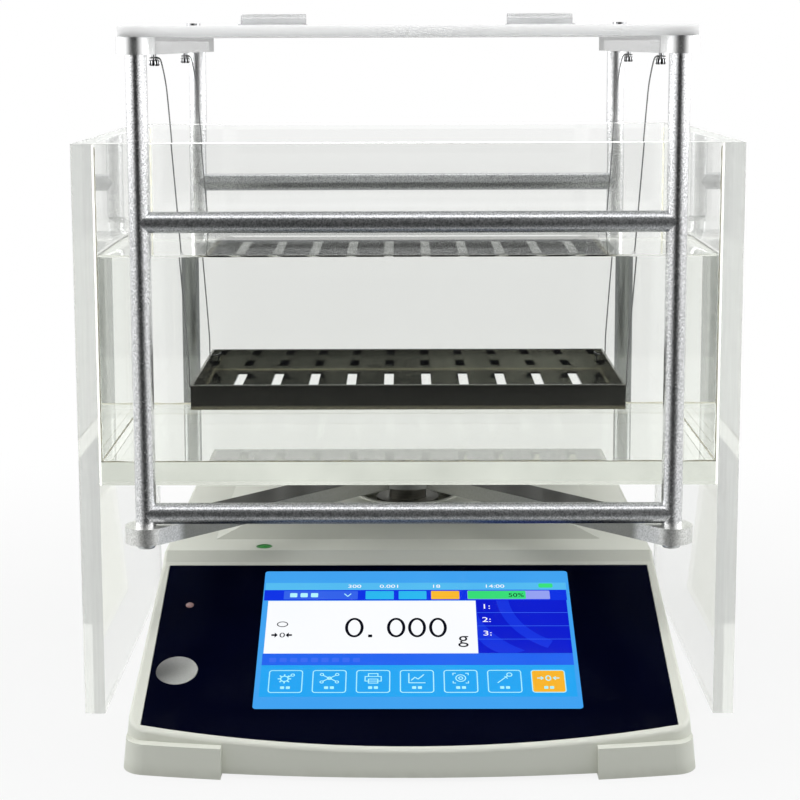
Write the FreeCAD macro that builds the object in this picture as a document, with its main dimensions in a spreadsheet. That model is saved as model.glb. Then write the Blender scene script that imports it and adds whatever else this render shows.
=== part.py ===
import FreeCAD, Part
import math
import os

import Sketcher
from FreeCAD import Placement, Rotation, Vector

# Benchtop density meter: an electronic balance whose spindle carries a frame that
# straddles a free-standing water tank and hangs a slotted basket in the water.
# Millimetres, +Z up, the display faces -Y. The origin is on the bench, under the
# middle of the whole object's box.

doc = FreeCAD.newDocument("DensityMeter")
sheet = doc.addObject("Spreadsheet::Sheet", "Dims")

SIZES = {
    # tank of clear acrylic sheet; the two long side walls stand on the bench
    "tank_width": 320, "tank_depth": 222, "tank_height": 281, "acrylic_sheet": 10,
    "tank_floor_under": 115.5,
    # weighing frame of round rod between a cast spider and two flat side bars
    "rod_diameter": 10, "frame_pitch_x": 250, "frame_pitch_y": 262,
    "spider_under": 93, "spider_thick": 8, "arm_width": 22, "arm_end_diameter": 20,
    "hub_diameter": 56, "lower_bar_gap": 0.6, "upper_bar_height": 245.5,
    "side_bar_under": 323, "side_bar_width": 18, "side_bar_thick": 8,
    "coping_clearance": 0.05,
    # top plate in two pieces, joined by two plastic hinges
    "top_plate_width": 264, "top_plate_thick": 5, "rear_plate_depth": 56,
    "plate_gap": 1, "hinge_spacing": 152, "hinge_width": 37, "knuckle_diameter": 8,
    "knuckle_gap": 0.4, "leaf_depth": 16, "leaf_thick": 2.6, "hinge_pin_diameter": 3,
    "running_clearance": 0.05,
    # basket of folded stainless sheet on four wires
    "basket_width": 216, "basket_depth": 148, "basket_height": 12.5,
    "basket_under": 147.5, "basket_sheet": 1.2, "slot_count": 10, "slot_pitch": 20,
    "slot_width": 5, "slot_length": 124, "wire_diameter": 0.7, "hook_pitch_y": 134,
    "hook_neck_length": 3, "hook_head_diameter": 5.5, "hook_head_height": 3,
    "hook_neck_diameter": 3, "wire_hole_diameter": 2.8, "wire_hole_gap": 0.6,
    "wire_ring_clearance": 0.15,
    "wire_gap": 0.3, "wire_standoff": 1, "wire_foot": 3,
    # spindle from the load cell up through the cover
    "spindle_diameter": 20, "collar_diameter": 34, "collar_thick": 3, "collar_gap": 1.2,
    "spindle_foot_diameter": 29, "spindle_foot_thick": 6, "weighing_gap": 0.4,
    # balance housing
    "base_front": 196, "base_rear": 112, "base_width": 262, "base_bow": 13,
    "side_draft": 0.083, "front_draft": 0.14, "cover_wall": 3, "skirt_gap": 1,
    "corner_radius": 12, "panel_incline": 22.5, "panel_rear": 71.3,
    "panel_rear_height": 64, "panel_rear_side": 9.5, "panel_front_side": 8.25,
    "panel_length": 116, "panel_bow": 14, "panel_glass": 1.2, "panel_fit": 0.3,
    "ridge_rise": 4.5, "shelf_height": 70, "edge_round": 2,
    "plateau_height": 84.8, "plateau_foot_side": 23, "plateau_foot_front": 46,
    "plateau_foot_back": 14, "plateau_slope_side": 42, "plateau_slope_front": 22,
    "plateau_slope_rear": 26, "rear_edge_height": 56, "well_diameter": 52,
    "well_depth": 5.8, "well_hole_diameter": 26, "well_rim_height": 0.8,
    "well_rim_width": 2, "pod_width": 46, "pod_depth": 5, "pod_height": 13.6,
    "pod_rear": 12, "cover_boss_diameter": 8, "cover_boss_side": 19,
    "cover_boss_front": 86, "cover_boss_rear": 72, "cover_screw_grip": 8,
    # what shows in the panel
    "screen_width": 153, "screen_length": 101, "screen_offset_x": 4,
    "screen_rear_margin": 4.8, "module_border": 2, "module_thick": 5, "module_fit": 0.3,
    "button_diameter": 19.6, "button_side": 11.5, "button_along": 79.3, "button_travel": 1.2,
    "button_fit": 0.3, "button_flange": 0.9, "flange_gap": 0.3, "flange_thick": 1,
    "switch_clearance": 0.3, "switch_size": 6, "switch_height": 1.9, "key_board_width": 22,
    "key_board_thick": 1.2, "key_board_rear": 20, "key_board_front": 4, "key_post_x": 7,
    "key_post_along": 16, "key_post_diameter": 5, "led_side": 13, "led_along": 32.4,
    "led_diameter": 4, "led_length": 5, "level_x": 74.5, "level_front": 56,
    "level_diameter": 8.4, "level_depth": 5, "level_cup_wall": 1.3, "vial_fit": 0.1,
    "button_dish": 1.1,
    # tray and levelling feet
    "tray_under": 10, "tray_thick": 3, "tray_fit": 0.4, "foot_side": 21,
    "foot_front": 24, "foot_rear": 20, "pad_diameter": 18, "pad_thick": 3,
    "pad_socket": 1.8, "wheel_diameter": 18, "stud_diameter": 6, "boss_diameter": 11,
    "boss_height": 7, "foot_gap": 0.3, "stud_above": 0.5, "foot_nose_diameter": 5,
    # load cell and its mounting
    "cell_length": 110, "cell_width": 30, "cell_height": 22, "cell_under": 24,
    "cell_free_end": 15, "cell_bore": 14, "cell_bore_pitch": 34, "cell_slot": 4,
    "block_length": 34, "cell_bolt_diameter": 6, "cell_bolt_head": 10,
    "cell_bolt_head_height": 5, "cell_bolt_pitch": 18, "cell_bolt_grip": 12,
    "stop_diameter": 8, "stop_gap": 0.6,
    # electronics
    "board_width": 150, "board_depth": 70, "board_thick": 1.6, "board_front": 46,
    "standoff_height": 6, "standoff_diameter": 6, "battery_width": 70,
    "battery_depth": 46, "battery_height": 20, "battery_side": 56, "battery_front": 20,
    "ribbon_width": 20, "ribbon_thick": 0.4, "ribbon_x": 40, "jack_side": 49,
    "jack_width": 11, "jack_height": 11, "jack_bore": 5.6, "jack_bore_depth": 9.5,
    "port_side": 85, "port_width": 31, "port_height": 12.5, "port_rim": 2.5, "socket_depth": 14,
    "socket_board_height": 24, "socket_board_margin": 5, "socket_fit": 0.3,
    "socket_setback": 0.5,
    # fasteners: shank, head and clearance
    "screw_fit": 0.1, "cover_screw_diameter": 3, "cover_screw_head": 6, "cover_screw_head_height": 2,
    "frame_screw_diameter": 5, "frame_screw_head": 8.6, "frame_screw_head_height": 3,
    "frame_screw_grip": 14, "foot_screw_grip": 3.5, "bar_screw_diameter": 3, "bar_screw_head": 5,
    "bar_screw_sink": 1.5, "bar_screw_head_height": 1, "bar_screw_grip": 12, "plate_screw_diameter": 4,
    "plate_screw_head": 8, "plate_screw_head_height": 3.6, "hub_screw_diameter": 3,
    "hub_screw_head": 5.5, "hub_screw_pitch": 12, "hub_screw_grip": 12,
}
for row, (alias, number) in enumerate(SIZES.items(), start=1):
    sheet.set(f"A{row}", alias.replace("_", " "))
    sheet.set(f"B{row}", str(number))
    sheet.setAlias(f"B{row}", alias)
doc.recompute()


class Size:
    """A size worked out from the sheet: its number, and the expression that keeps it live."""

    def __init__(self, text, number):
        self.text = text
        self.number = number

    @staticmethod
    def of(value):
        return value if isinstance(value, Size) else Size(f"{float(value):.6f}", float(value))

    def __float__(self):
        return float(self.number)

    def __neg__(self):
        return Size(f"(0 - {self.text})", -self.number)

    def __add__(self, other):
        other = Size.of(other)
        return Size(f"({self.text} + {other.text})", self.number + other.number)

    def __sub__(self, other):
        other = Size.of(other)
        return Size(f"({self.text} - {other.text})", self.number - other.number)

    def __mul__(self, other):
        other = Size.of(other)
        return Size(f"({self.text} * {other.text})", self.number * other.number)

    def __truediv__(self, other):
        other = Size.of(other)
        return Size(f"({self.text} / {other.text})", self.number / other.number)

    def __radd__(self, other):
        return Size.of(other) + self

    def __rsub__(self, other):
        return Size.of(other) - self

    def __rmul__(self, other):
        return Size.of(other) * self


class Sheet:
    """The spreadsheet's cells by name, each as a Size."""

    def __getattr__(self, alias):
        return Size(f"Dims.{alias}", float(sheet.get(alias)))


s = Sheet()


# ---- shared helpers: primitives, booleans and sketches bound to the sheet ----------

def bind(target, path, size):
    """Tie one property of an object to the sheet."""
    target.setExpression(path, Size.of(size).text)


def move_to(piece, x, y, z):
    """Place a piece by live sizes."""
    for path, size in zip(("x", "y", "z"), (x, y, z)):
        bind(piece, f"Placement.Base.{path}", size)
    return piece


def make(kind, name):
    """A new object whose Label is its node name."""
    piece = doc.addObject(kind, name)
    piece.Label = name
    return piece


def box(name, x, y, z):
    """A block between two live limits on each axis: x, y and z are (low, high) pairs."""
    piece = make("Part::Box", name)
    for side, (low, high) in zip(("Length", "Width", "Height"), (x, y, z)):
        bind(piece, side, Size.of(high) - Size.of(low))
    return move_to(piece, x[0], y[0], z[0])


TURNS = {
    "X": Rotation(Vector(0, 1, 0), 90),
    "Y": Rotation(Vector(1, 0, 0), -90),
    "Z": Rotation(),
}


def rod(name, axis, radius, length, x, y, z):
    """A cylinder that starts at a point and runs along +X, +Y or +Z."""
    piece = make("Part::Cylinder", name)
    piece.Placement = Placement(Vector(), TURNS[axis])
    bind(piece, "Radius", radius)
    bind(piece, "Height", length)
    return move_to(piece, x, y, z)


def fuse(name, pieces):
    """Pieces joined, or kept as one group of separate solids where they do not touch."""
    group = make("Part::MultiFuse", name)
    group.Shapes = pieces
    return group


def cut(name, base, tools):
    """A base piece less one or more tools."""
    result = make("Part::Cut", name)
    result.Base = base
    result.Tool = tools[0] if len(tools) == 1 else fuse(f"{name}_cutters", tools)
    return result


def solid(name, shape):
    """A piece whose form needs Part's own functions."""
    piece = make("Part::Feature", name)
    piece.Shape = shape
    return piece


def body(name, x, y, z):
    """An empty PartDesign body placed by live sizes."""
    piece = make("PartDesign::Body", name)
    return move_to(piece, x, y, z)


def sketch_on(piece, role, lift=0):
    """A sketch on one of the body's own origin planes, lifted off it by a live size."""
    sketch = piece.newObject("Sketcher::SketchObject", f"{piece.Name}_sketch")
    plane = [p for p in piece.Origin.OriginFeatures if p.Role == role][0]
    sketch.AttachmentSupport = [(plane, "")]
    sketch.MapMode = "FlatFace"
    bind(sketch, "AttachmentOffset.Base.z", lift)
    return sketch


def pin_point(sketch, index, end, x, y):
    """Hold one end of a sketch edge at a live position."""
    for direction, size in (("DistanceX", x), ("DistanceY", y)):
        number = sketch.addConstraint(Sketcher.Constraint(direction, -1, 1, index, end, float(size)))
        bind(sketch, f"Constraints[{number}]", size)


def draw_outline(sketch, corners):
    """A closed outline of straight edges, every corner tied to the sheet."""
    corners = [(Size.of(x), Size.of(y)) for x, y in corners]
    points = [Vector(float(x), float(y), 0) for x, y in corners]
    first = sketch.GeometryCount
    for start, end in zip(points, points[1:] + points[:1]):
        sketch.addGeometry(Part.LineSegment(start, end))
    for step, (x, y) in enumerate(corners):
        before = first + (step - 1) % len(corners)
        sketch.addConstraint(Sketcher.Constraint("Coincident", before, 2, first + step, 1))
        pin_point(sketch, first + step, 1, x, y)


def draw_circle(sketch, x, y, radius):
    """A circle with its centre and radius tied to the sheet."""
    x, y, radius = Size.of(x), Size.of(y), Size.of(radius)
    centre = Vector(float(x), float(y), 0)
    index = sketch.addGeometry(Part.Circle(centre, Vector(0, 0, 1), float(radius)))
    pin_point(sketch, index, 3, x, y)
    number = sketch.addConstraint(Sketcher.Constraint("Radius", index, float(radius)))
    bind(sketch, f"Constraints[{number}]", radius)


def draw_box(sketch, x, y):
    """A rectangle between two live limits on each axis."""
    draw_outline(sketch, [(x[0], y[0]), (x[1], y[0]), (x[1], y[1]), (x[0], y[1])])


def pad(piece, sketch, length):
    """Add material above a sketch."""
    feature = piece.newObject("PartDesign::Pad", f"{piece.Name}_pad")
    feature.Profile = sketch
    bind(feature, "Length", length)
    piece.Tip = feature
    return feature


def pocket(piece, sketch, length):
    """Remove material above a sketch."""
    feature = piece.newObject("PartDesign::Pocket", f"{piece.Name}_pocket")
    feature.Profile = sketch
    feature.Reversed = True
    bind(feature, "Length", length)
    piece.Tip = feature
    return feature


def revolve(piece, corners):
    """A turned piece: its half section, as radius and height, about the body's own axis."""
    sketch = sketch_on(piece, "XZ_Plane")
    draw_outline(sketch, corners)
    feature = piece.newObject("PartDesign::Revolution", f"{piece.Name}_turning")
    feature.Profile = sketch
    feature.ReferenceAxis = (sketch, ["V_Axis"])
    feature.Angle = 360
    piece.Tip = feature
    return feature


# ---- places shared by several pieces ---------------------------------------------------

frame_reach = s.frame_pitch_y / 2 + s.arm_end_diameter / 2
hub_y = (s.base_front - frame_reach) / 2
base_half = s.base_width / 2
base_low = hub_y - s.base_front
base_high = hub_y + s.base_rear
rod_radius = s.rod_diameter / 2
post_x = s.frame_pitch_x / 2
post_y = s.frame_pitch_y / 2
spider_top = s.spider_under + s.spider_thick
lower_bar_height = spider_top + s.lower_bar_gap + rod_radius
side_bar_top = s.side_bar_under + s.side_bar_thick
plate_top = side_bar_top + s.top_plate_thick
plate_rear = hub_y + frame_reach
rear_plate_front = plate_rear - s.rear_plate_depth
hinge_y = rear_plate_front - s.plate_gap / 2
SIDES = (-1, 1)
POSTS = [("front_left", -1, -1), ("front_right", 1, -1), ("rear_left", -1, 1), ("rear_right", 1, 1)]

panel_half = base_half - s.panel_rear_side
button_x = s.button_side - panel_half
led_x = s.led_side - panel_half
battery_x = base_half - s.battery_side
jack_x = base_half - s.jack_side
port_x = base_half - s.port_side

pieces = []


# ---- balance housing: one moulded cover, tapered, bowed in front, hollow below ------------

def plan_block(inset, bottom, top):
    """The cover's sides: a tapered block on the plan outline, with rounded corners."""
    wires = []
    for height in (bottom, top):
        half = float(base_half) - inset - float(s.side_draft) * height
        front = float(base_low) + inset + float(s.front_draft) * height
        rear = float(base_high) - inset - float(s.side_draft) * height
        corner = front + float(s.base_bow)
        bow = Part.Arc(Vector(-half, corner, height), Vector(0, front, height),
                       Vector(half, corner, height))
        sides = [Vector(half, corner, height), Vector(half, rear, height),
                 Vector(-half, rear, height), Vector(-half, corner, height)]
        lines = [Part.LineSegment(a, b).toShape() for a, b in zip(sides, sides[1:])]
        wires.append(Part.Wire([bow.toShape()] + lines))
    block = Part.makeLoft(wires, True, True)
    upright = [e for e in block.Edges if abs(e.Vertexes[0].Z - e.Vertexes[-1].Z) > 1]
    return block.makeFillet(float(s.corner_radius) - inset, upright)


incline = math.radians(float(s.panel_incline))
panel_y = hub_y - s.panel_rear


def panel_point(along, lift):
    """(Y, Z) of a point down the sloped panel from its rear edge, lifted off its face."""
    y = float(panel_y) - along * math.cos(incline) - lift * math.sin(incline)
    z = float(s.panel_rear_height) - along * math.sin(incline) + lift * math.cos(incline)
    return y, z


def side_profile(inset, bottom):
    """The cover's side outline: front face, sloped panel, ridge, shelf and rear fall."""
    front = float(base_low)
    front_along = (float(s.base_front) - float(s.panel_rear)) / math.cos(incline)
    crest_y = float(panel_y) + float(s.cover_wall)
    shelf = float(s.shelf_height)
    rear = float(base_high)
    corners = [
        (front - 20, bottom), panel_point(front_along + 20, 0), panel_point(-float(s.cover_wall), 0),
        (crest_y + float(s.ridge_rise), shelf), (float(base_high - s.plateau_foot_back), shelf),
        (rear + 10, float(s.rear_edge_height)), (rear + 10, bottom),
    ]
    points = [Vector(0, y, z) for y, z in corners]
    wire = Part.makePolygon(points + points[:1])
    if inset:
        wire = wire.makeOffset2D(-inset, 2, False, False, True)
    return Part.Face(wire)


def plateau_block(inset):
    """The raised middle of the deck, a low truncated pyramid round the spindle's well."""
    centre = float(hub_y)
    foot = float(s.shelf_height - s.cover_wall) - inset
    top = float(s.plateau_height) - inset
    rings = []
    for height, rise in ((foot, 0), (top, 1)):
        half = float(base_half - s.plateau_foot_side - s.plateau_slope_side * rise) - inset
        low = centre - float(s.plateau_foot_front - s.plateau_slope_front * rise) + inset
        high = float(base_high - s.plateau_foot_back - s.plateau_slope_rear * rise) - inset
        ring = [Vector(-half, low, height), Vector(half, low, height),
                Vector(half, high, height), Vector(-half, high, height)]
        rings.append(Part.makePolygon(ring + ring[:1]))
    return Part.makeLoft(rings, True, True)


def crown_edges(block):
    """The edges where the cover's sloping and level faces meet its steep sides."""
    crown = []
    for edge in block.Edges:
        middle = edge.valueAt((edge.FirstParameter + edge.LastParameter) / 2)
        rises = []
        for face in block.Faces:
            if any(edge.isSame(other) for other in face.Edges):
                rises.append(face.normalAt(*face.Surface.parameter(middle)).z)
        if len(rises) == 2 and -0.5 < min(rises) < 0.3 < max(rises):
            crown.append(edge)
    return crown


def profile_slab(inset, bottom):
    """The side outline carried across the whole width."""
    reach = float(s.base_width)
    profile = side_profile(inset, bottom)
    profile.translate(Vector(-reach, 0, 0))
    return profile.extrude(Vector(2 * reach, 0, 0))


def cover_form(inset, bottom):
    """The cover's outer form, or its inside when inset by the wall."""
    wedge = plan_block(inset, bottom, float(s.plateau_height) + 20).common(profile_slab(inset, bottom))
    if not inset:
        wedge = wedge.makeFillet(float(s.edge_round), crown_edges(wedge))
    return wedge.fuse(plateau_block(inset))


def on_panel(shape):
    """Carry a shape from the panel's own frame, whose origin is the middle of its rear edge."""
    shape.Placement = Placement(
        Vector(0, float(panel_y), float(s.panel_rear_height)),
        Rotation(Vector(1, 0, 0), float(s.panel_incline)),
    )
    return shape


def panel_slab(grow, low, high):
    """The panel's outline, wider by a fit, between two levels of its own frame."""
    rear = float(panel_half) + grow
    front = float(base_half - s.panel_front_side) + grow
    length = float(s.panel_length) + grow
    bow = Part.Arc(Vector(-front, -length, low), Vector(0, -length - float(s.panel_bow), low),
                   Vector(front, -length, low))
    path = [Vector(front, -length, low), Vector(rear, grow, low), Vector(-rear, grow, low),
            Vector(-front, -length, low)]
    lines = [Part.LineSegment(a, b).toShape() for a, b in zip(path, path[1:])]
    return Part.Face(Part.Wire([bow.toShape()] + lines)).extrude(Vector(0, 0, high - low))


def panel_rod(x, along, radius, low, high):
    """A round bar square to the panel, between two levels of its frame."""
    foot = Vector(float(x), -float(along), float(low))
    return Part.makeCylinder(float(radius), float(high) - float(low), foot)


def upright(x, y, radius, low, high):
    """A plain upright bar in the row frame."""
    foot = Vector(float(x), float(y), float(low))
    return Part.makeCylinder(float(radius), float(high) - float(low), foot)


glass = float(s.panel_glass)
wall = float(s.cover_wall)
wall_under = -s.panel_glass - s.cover_wall
module_under = -glass - float(s.module_thick)
module_x = [s.screen_offset_x + side * (s.screen_width / 2 + s.module_border) for side in SIDES]
module_y = [-s.screen_rear_margin - s.screen_length - s.module_border,
            -s.screen_rear_margin + s.module_border]
key_board_top = wall_under - (s.flange_gap + s.flange_thick + s.button_travel + s.switch_clearance
                              + s.switch_height)
button_flange_radius = s.button_diameter / 2 + s.button_flange
button_hole_radius = s.button_diameter / 2 + s.button_fit
level_place = (-s.level_x, hub_y - s.level_front)
level_under = s.shelf_height - s.level_depth
level_bore = s.level_diameter / 2 + s.vial_fit
well_floor = s.plateau_height - s.well_depth
tray_top = s.tray_under + s.tray_thick
cover_bosses = [(side * (base_half - s.cover_boss_side), y) for side in SIDES
                for y in (base_low + s.cover_boss_front, base_high - s.cover_boss_rear)]
socket_top = s.socket_board_height


def rear_wall_y(height):
    """Where the cover's outer rear face stands at a height."""
    return base_high - s.side_draft * height


socket_face = rear_wall_y(socket_top + s.port_height) - s.socket_setback


def make_cover():
    """The whole moulded cover with its recess, windows, well, bosses and corner pods."""
    bottom = float(s.skirt_gap)
    outer = cover_form(0, bottom)
    shell = outer.cut(cover_form(wall, bottom - 10))
    hub = (0, hub_y)
    additions = [upright(x, y, s.cover_boss_diameter / 2, tray_top, s.plateau_height).common(outer)
                 for x, y in cover_bosses]
    cup = upright(*hub, s.well_diameter / 2 + s.well_rim_width, well_floor - wall, s.plateau_height)
    additions.append(cup)
    rim = upright(*hub, s.well_diameter / 2 + s.well_rim_width, s.plateau_height - 1,
                  s.plateau_height + s.well_rim_height)
    additions.append(rim)
    additions.append(upright(*level_place, level_bore + s.level_cup_wall,
                             level_under - s.level_cup_wall, s.shelf_height - 1))
    for side in SIDES:
        x = button_x + side * s.key_post_x
        post = panel_rod(x, s.button_along - s.key_post_along, s.key_post_diameter / 2,
                         key_board_top, wall_under + 1)
        additions.append(on_panel(post))
    for side in SIDES:
        pod = plan_block(0, 0, float(s.pod_height))
        pod.translate(Vector(0, -float(s.pod_depth), 0))
        inner_x = float(base_half - s.pod_width)
        low = float(base_low - s.pod_depth)
        window = Part.makeBox(float(s.pod_width) + 2, float(s.base_bow + s.pod_depth + s.pod_rear),
                              float(s.pod_height), Vector(inner_x, low, 0))
        if side < 0:
            window = window.mirror(Vector(0, 0, 0), Vector(1, 0, 0))
        additions.append(pod.common(window).cut(plan_block(wall, -1, float(s.pod_height) + 1)))
    shell = shell.multiFuse(additions)
    openings = [
        on_panel(panel_slab(float(s.panel_fit), -glass, glass + 20)),
        on_panel(panel_rod(button_x, s.button_along, button_hole_radius, wall_under - 1, 0)),
        on_panel(panel_rod(led_x, s.led_along, s.led_diameter / 2 + s.vial_fit, wall_under - 1, 0)),
        upright(*hub, s.well_diameter / 2, well_floor, s.plateau_height + 10),
        upright(*hub, s.well_hole_diameter / 2, well_floor - 2 * wall, well_floor + 1),
        upright(*level_place, level_bore, level_under, s.shelf_height + 1),
    ]
    fit = float(s.module_fit)
    low = Vector(float(module_x[0]) - fit, float(module_y[0]) - fit, -glass - 2 * wall)
    window = Part.makeBox(float(module_x[1] - module_x[0]) + 2 * fit,
                          float(module_y[1] - module_y[0]) + 2 * fit, 2 * wall, low)
    openings.append(on_panel(window))
    for x, y in cover_bosses:
        openings.append(upright(x, y, s.cover_screw_diameter / 2 + s.screw_fit / 2, tray_top - 1,
                                tray_top + s.cover_screw_grip + 1))
    fit = float(s.socket_fit)
    for x, width, height in ((jack_x, s.jack_width, s.jack_height), (port_x, s.port_width, s.port_height)):
        low = Vector(float(x - width / 2) - fit, float(base_high) - 12, float(socket_top) - fit)
        openings.append(Part.makeBox(float(width) + 2 * fit, 20, float(height) + 2 * fit, low))
    return shell.cut(openings)


pieces.append(solid("top_cover", make_cover()))


feet = [(name, x * (base_half - s.foot_side), base_high - s.foot_rear if y > 0 else base_low + s.foot_front)
        for name, x, y in POSTS]
cell_rear = hub_y - s.cell_free_end + s.cell_length
cell_bolts = [cell_rear - s.block_length / 2 + side * s.cell_bolt_pitch / 2 for side in SIDES]
board_low = base_low + s.board_front
board_half = s.board_width / 2
board_under = tray_top + s.standoff_height
socket_board_x = (port_x - s.port_width / 2 - s.socket_board_margin,
                  jack_x + s.jack_width / 2 + s.socket_board_margin)
socket_board_y = (socket_face - s.socket_depth - s.socket_board_margin, socket_face - wall - 1)
socket_board_under = socket_top - s.board_thick
corner_inset = s.standoff_diameter
standoffs = [(x, y, board_under) for x in (-board_half + corner_inset, board_half - corner_inset)
             for y in (board_low + corner_inset, board_low + s.board_depth - corner_inset)]
standoffs += [(x, (socket_board_y[0] + socket_board_y[1]) / 2, socket_board_under)
              for x in (socket_board_x[0] + corner_inset / 2, socket_board_x[1] - corner_inset / 2)]


def make_tray():
    """The flat floor inside the cover's skirt, with the feet's bosses and the boards' standoffs."""
    inset = wall + float(s.tray_fit)
    tray = plan_block(inset, float(s.tray_under), float(tray_top))
    bosses = [upright(x, y, s.boss_diameter / 2, s.tray_under, s.tray_under + s.boss_height)
              for _, x, y in feet]
    bosses += [upright(x, y, s.standoff_diameter / 2, s.tray_under, top) for x, y, top in standoffs]
    tray = tray.multiFuse(bosses).common(profile_slab(inset, 0))
    holes = [upright(x, y, s.stud_diameter / 2 + s.running_clearance, s.tray_under - 1,
                     s.tray_under + s.boss_height + 1) for _, x, y in feet]
    holes += [upright(x, y, s.cover_screw_diameter / 2 + s.screw_fit, s.tray_under - 1, tray_top + 1)
              for x, y in cover_bosses]
    holes += [upright(0, y, s.cell_bolt_diameter / 2 + s.screw_fit, s.tray_under - 1, tray_top + 1)
              for y in cell_bolts]
    return tray.cut(holes)


pieces.append(solid("base_tray", make_tray()))

underside_screws = []


def underside_screw(name, x, y, diameter, grip, head, head_height):
    """A screw driven up through the tray; grip is its length above the tray's underside."""
    shank = rod(f"{name}_shank", "Z", diameter / 2, grip, x, y, s.tray_under)
    cap = rod(f"{name}_head", "Z", head / 2, head_height, x, y, s.tray_under - head_height)
    underside_screws.append(fuse(name, [shank, cap]))


for number, (x, y) in enumerate(cover_bosses):
    underside_screw(f"cover_screw_{number}", x, y, s.cover_screw_diameter,
                    s.tray_thick + s.cover_screw_grip, s.cover_screw_head, s.cover_screw_head_height)
for number, y in enumerate(cell_bolts):
    underside_screw(f"cell_bolt_{number}", 0, y, s.cell_bolt_diameter,
                    s.cell_under + s.cell_bolt_grip - s.running_clearance - s.tray_under,
                    s.cell_bolt_head, s.cell_bolt_head_height)
pieces.append(fuse("underside_screws", underside_screws))


# ---- the panel's pieces, built in the panel's own frame -----------------------------------

incline_cos = Size("cos(Dims.panel_incline)", math.cos(incline))
incline_sin = Size("sin(Dims.panel_incline)", math.sin(incline))


def lay_on_panel(piece, x=0, along=0):
    """Set a piece's origin on the sloped panel, this far across it and down from its rear edge."""
    piece.Placement = Placement(Vector(), Rotation(Vector(1, 0, 0), float(s.panel_incline)))
    bind(piece, "Placement.Rotation.Angle", s.panel_incline)
    return move_to(piece, x, panel_y - along * incline_cos, s.panel_rear_height - along * incline_sin)


def panel_body(name, x=0, along=0):
    """A body that stands square to the panel."""
    return lay_on_panel(make("PartDesign::Body", name), x, along)


touch_panel = solid("touch_panel", panel_slab(0, -glass, 0).cut(
    panel_rod(button_x, s.button_along, button_hole_radius, -glass - 1, 1)))
pieces.append(lay_on_panel(touch_panel))

screen = panel_body("screen_module")
outline = sketch_on(screen, "XY_Plane", -s.panel_glass - s.module_thick)
draw_box(outline, module_x, module_y)
pad(screen, outline, s.module_thick)
pieces.append(screen)

led = panel_body("status_led", led_x, s.led_along)
outline = sketch_on(led, "XY_Plane", -s.panel_glass - s.led_length)
draw_circle(outline, 0, 0, s.led_diameter / 2)
pad(led, outline, s.led_length)
pieces.append(led)

switch = panel_body("power_switch", button_x, s.button_along)
board_outline = sketch_on(switch, "XY_Plane", key_board_top - s.key_board_thick)
draw_box(board_outline, (-s.key_board_width / 2, s.key_board_width / 2),
         (-s.key_board_front, s.key_board_rear))
pad(switch, board_outline, s.key_board_thick)
block_outline = sketch_on(switch, "XY_Plane", key_board_top)
half_switch = s.switch_size / 2
draw_box(block_outline, (-half_switch, half_switch), (-half_switch, half_switch))
pad(switch, block_outline, s.switch_height)
pieces.append(switch)

DISH_STEPS = 6
button = panel_body("power_button", button_x, s.button_along)
cap = s.button_diameter / 2
flange_top = wall_under - s.flange_gap
flange_low = flange_top - s.flange_thick
dish = [(cap * (step / DISH_STEPS), -s.button_dish * (1 - (step / DISH_STEPS) ** 2))
        for step in range(DISH_STEPS)]
revolve(button, [(0, flange_low), (button_flange_radius, flange_low), (button_flange_radius, flange_top),
                 (cap, flange_top), (cap, 0)] + dish[::-1])
pieces.append(button)


# ---- bubble level, set in the deck ---------------------------------------------------------

pieces.append(rod("level_vial", "Z", s.level_diameter / 2, s.level_depth, *level_place, level_under))


# ---- levelling feet: a rubber pad that stays put, and a knurled stud that turns ------------

wheel_under = s.pad_thick + s.foot_gap
wheel_top = s.tray_under - s.foot_gap
for name, x, y in feet:
    sole = body(f"foot_pad_{name}", x, y, 0)
    socket = s.foot_nose_diameter / 2 + s.running_clearance
    revolve(sole, [(0, 0), (s.pad_diameter / 2, 0), (s.pad_diameter / 2, s.pad_thick),
                   (socket, s.pad_thick), (socket, s.pad_thick - s.pad_socket),
                   (0, s.pad_thick - s.pad_socket)])
    pieces.append(sole)
    stud = body(f"foot_stud_{name}", x, y, 0)
    nose = s.foot_nose_diameter / 2
    revolve(stud, [(0, wheel_under - s.pad_socket), (nose, wheel_under - s.pad_socket), (nose, wheel_under),
                   (s.wheel_diameter / 2, wheel_under), (s.wheel_diameter / 2, wheel_top),
                   (s.stud_diameter / 2, wheel_top),
                   (s.stud_diameter / 2, s.tray_under + s.boss_height + s.stud_above),
                   (0, s.tray_under + s.boss_height + s.stud_above)])
    pieces.append(stud)


# ---- load cell on its block, with the stop under its free end ------------------------------

cell_front = hub_y - s.cell_free_end
cell_top = s.cell_under + s.cell_height
cell_middle = (cell_front + cell_rear) / 2
cell_centre_height = s.cell_under + s.cell_height / 2
cell_half = s.cell_width / 2
bar = box("cell_bar", (-cell_half, cell_half), (cell_front, cell_rear), (s.cell_under, cell_top))
windows = [rod(f"cell_window_{step}", "X", s.cell_bore / 2, s.cell_width + 2, -cell_half - 1,
               cell_middle + step * s.cell_bore_pitch / 2, cell_centre_height) for step in SIDES]
windows.append(box("cell_slot", (-cell_half - 1, cell_half + 1),
                   (cell_middle - s.cell_bore_pitch / 2, cell_middle + s.cell_bore_pitch / 2),
                   (cell_centre_height - s.cell_slot / 2, cell_centre_height + s.cell_slot / 2)))
bolt_bore = s.cell_bolt_diameter / 2 + s.screw_fit / 2
for step, y in enumerate(cell_bolts):
    windows.append(rod(f"cell_thread_{step}", "Z", bolt_bore, s.cell_bolt_grip + 1, 0, y, s.cell_under - 1))
pieces.append(cut("load_cell", bar, windows))

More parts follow.
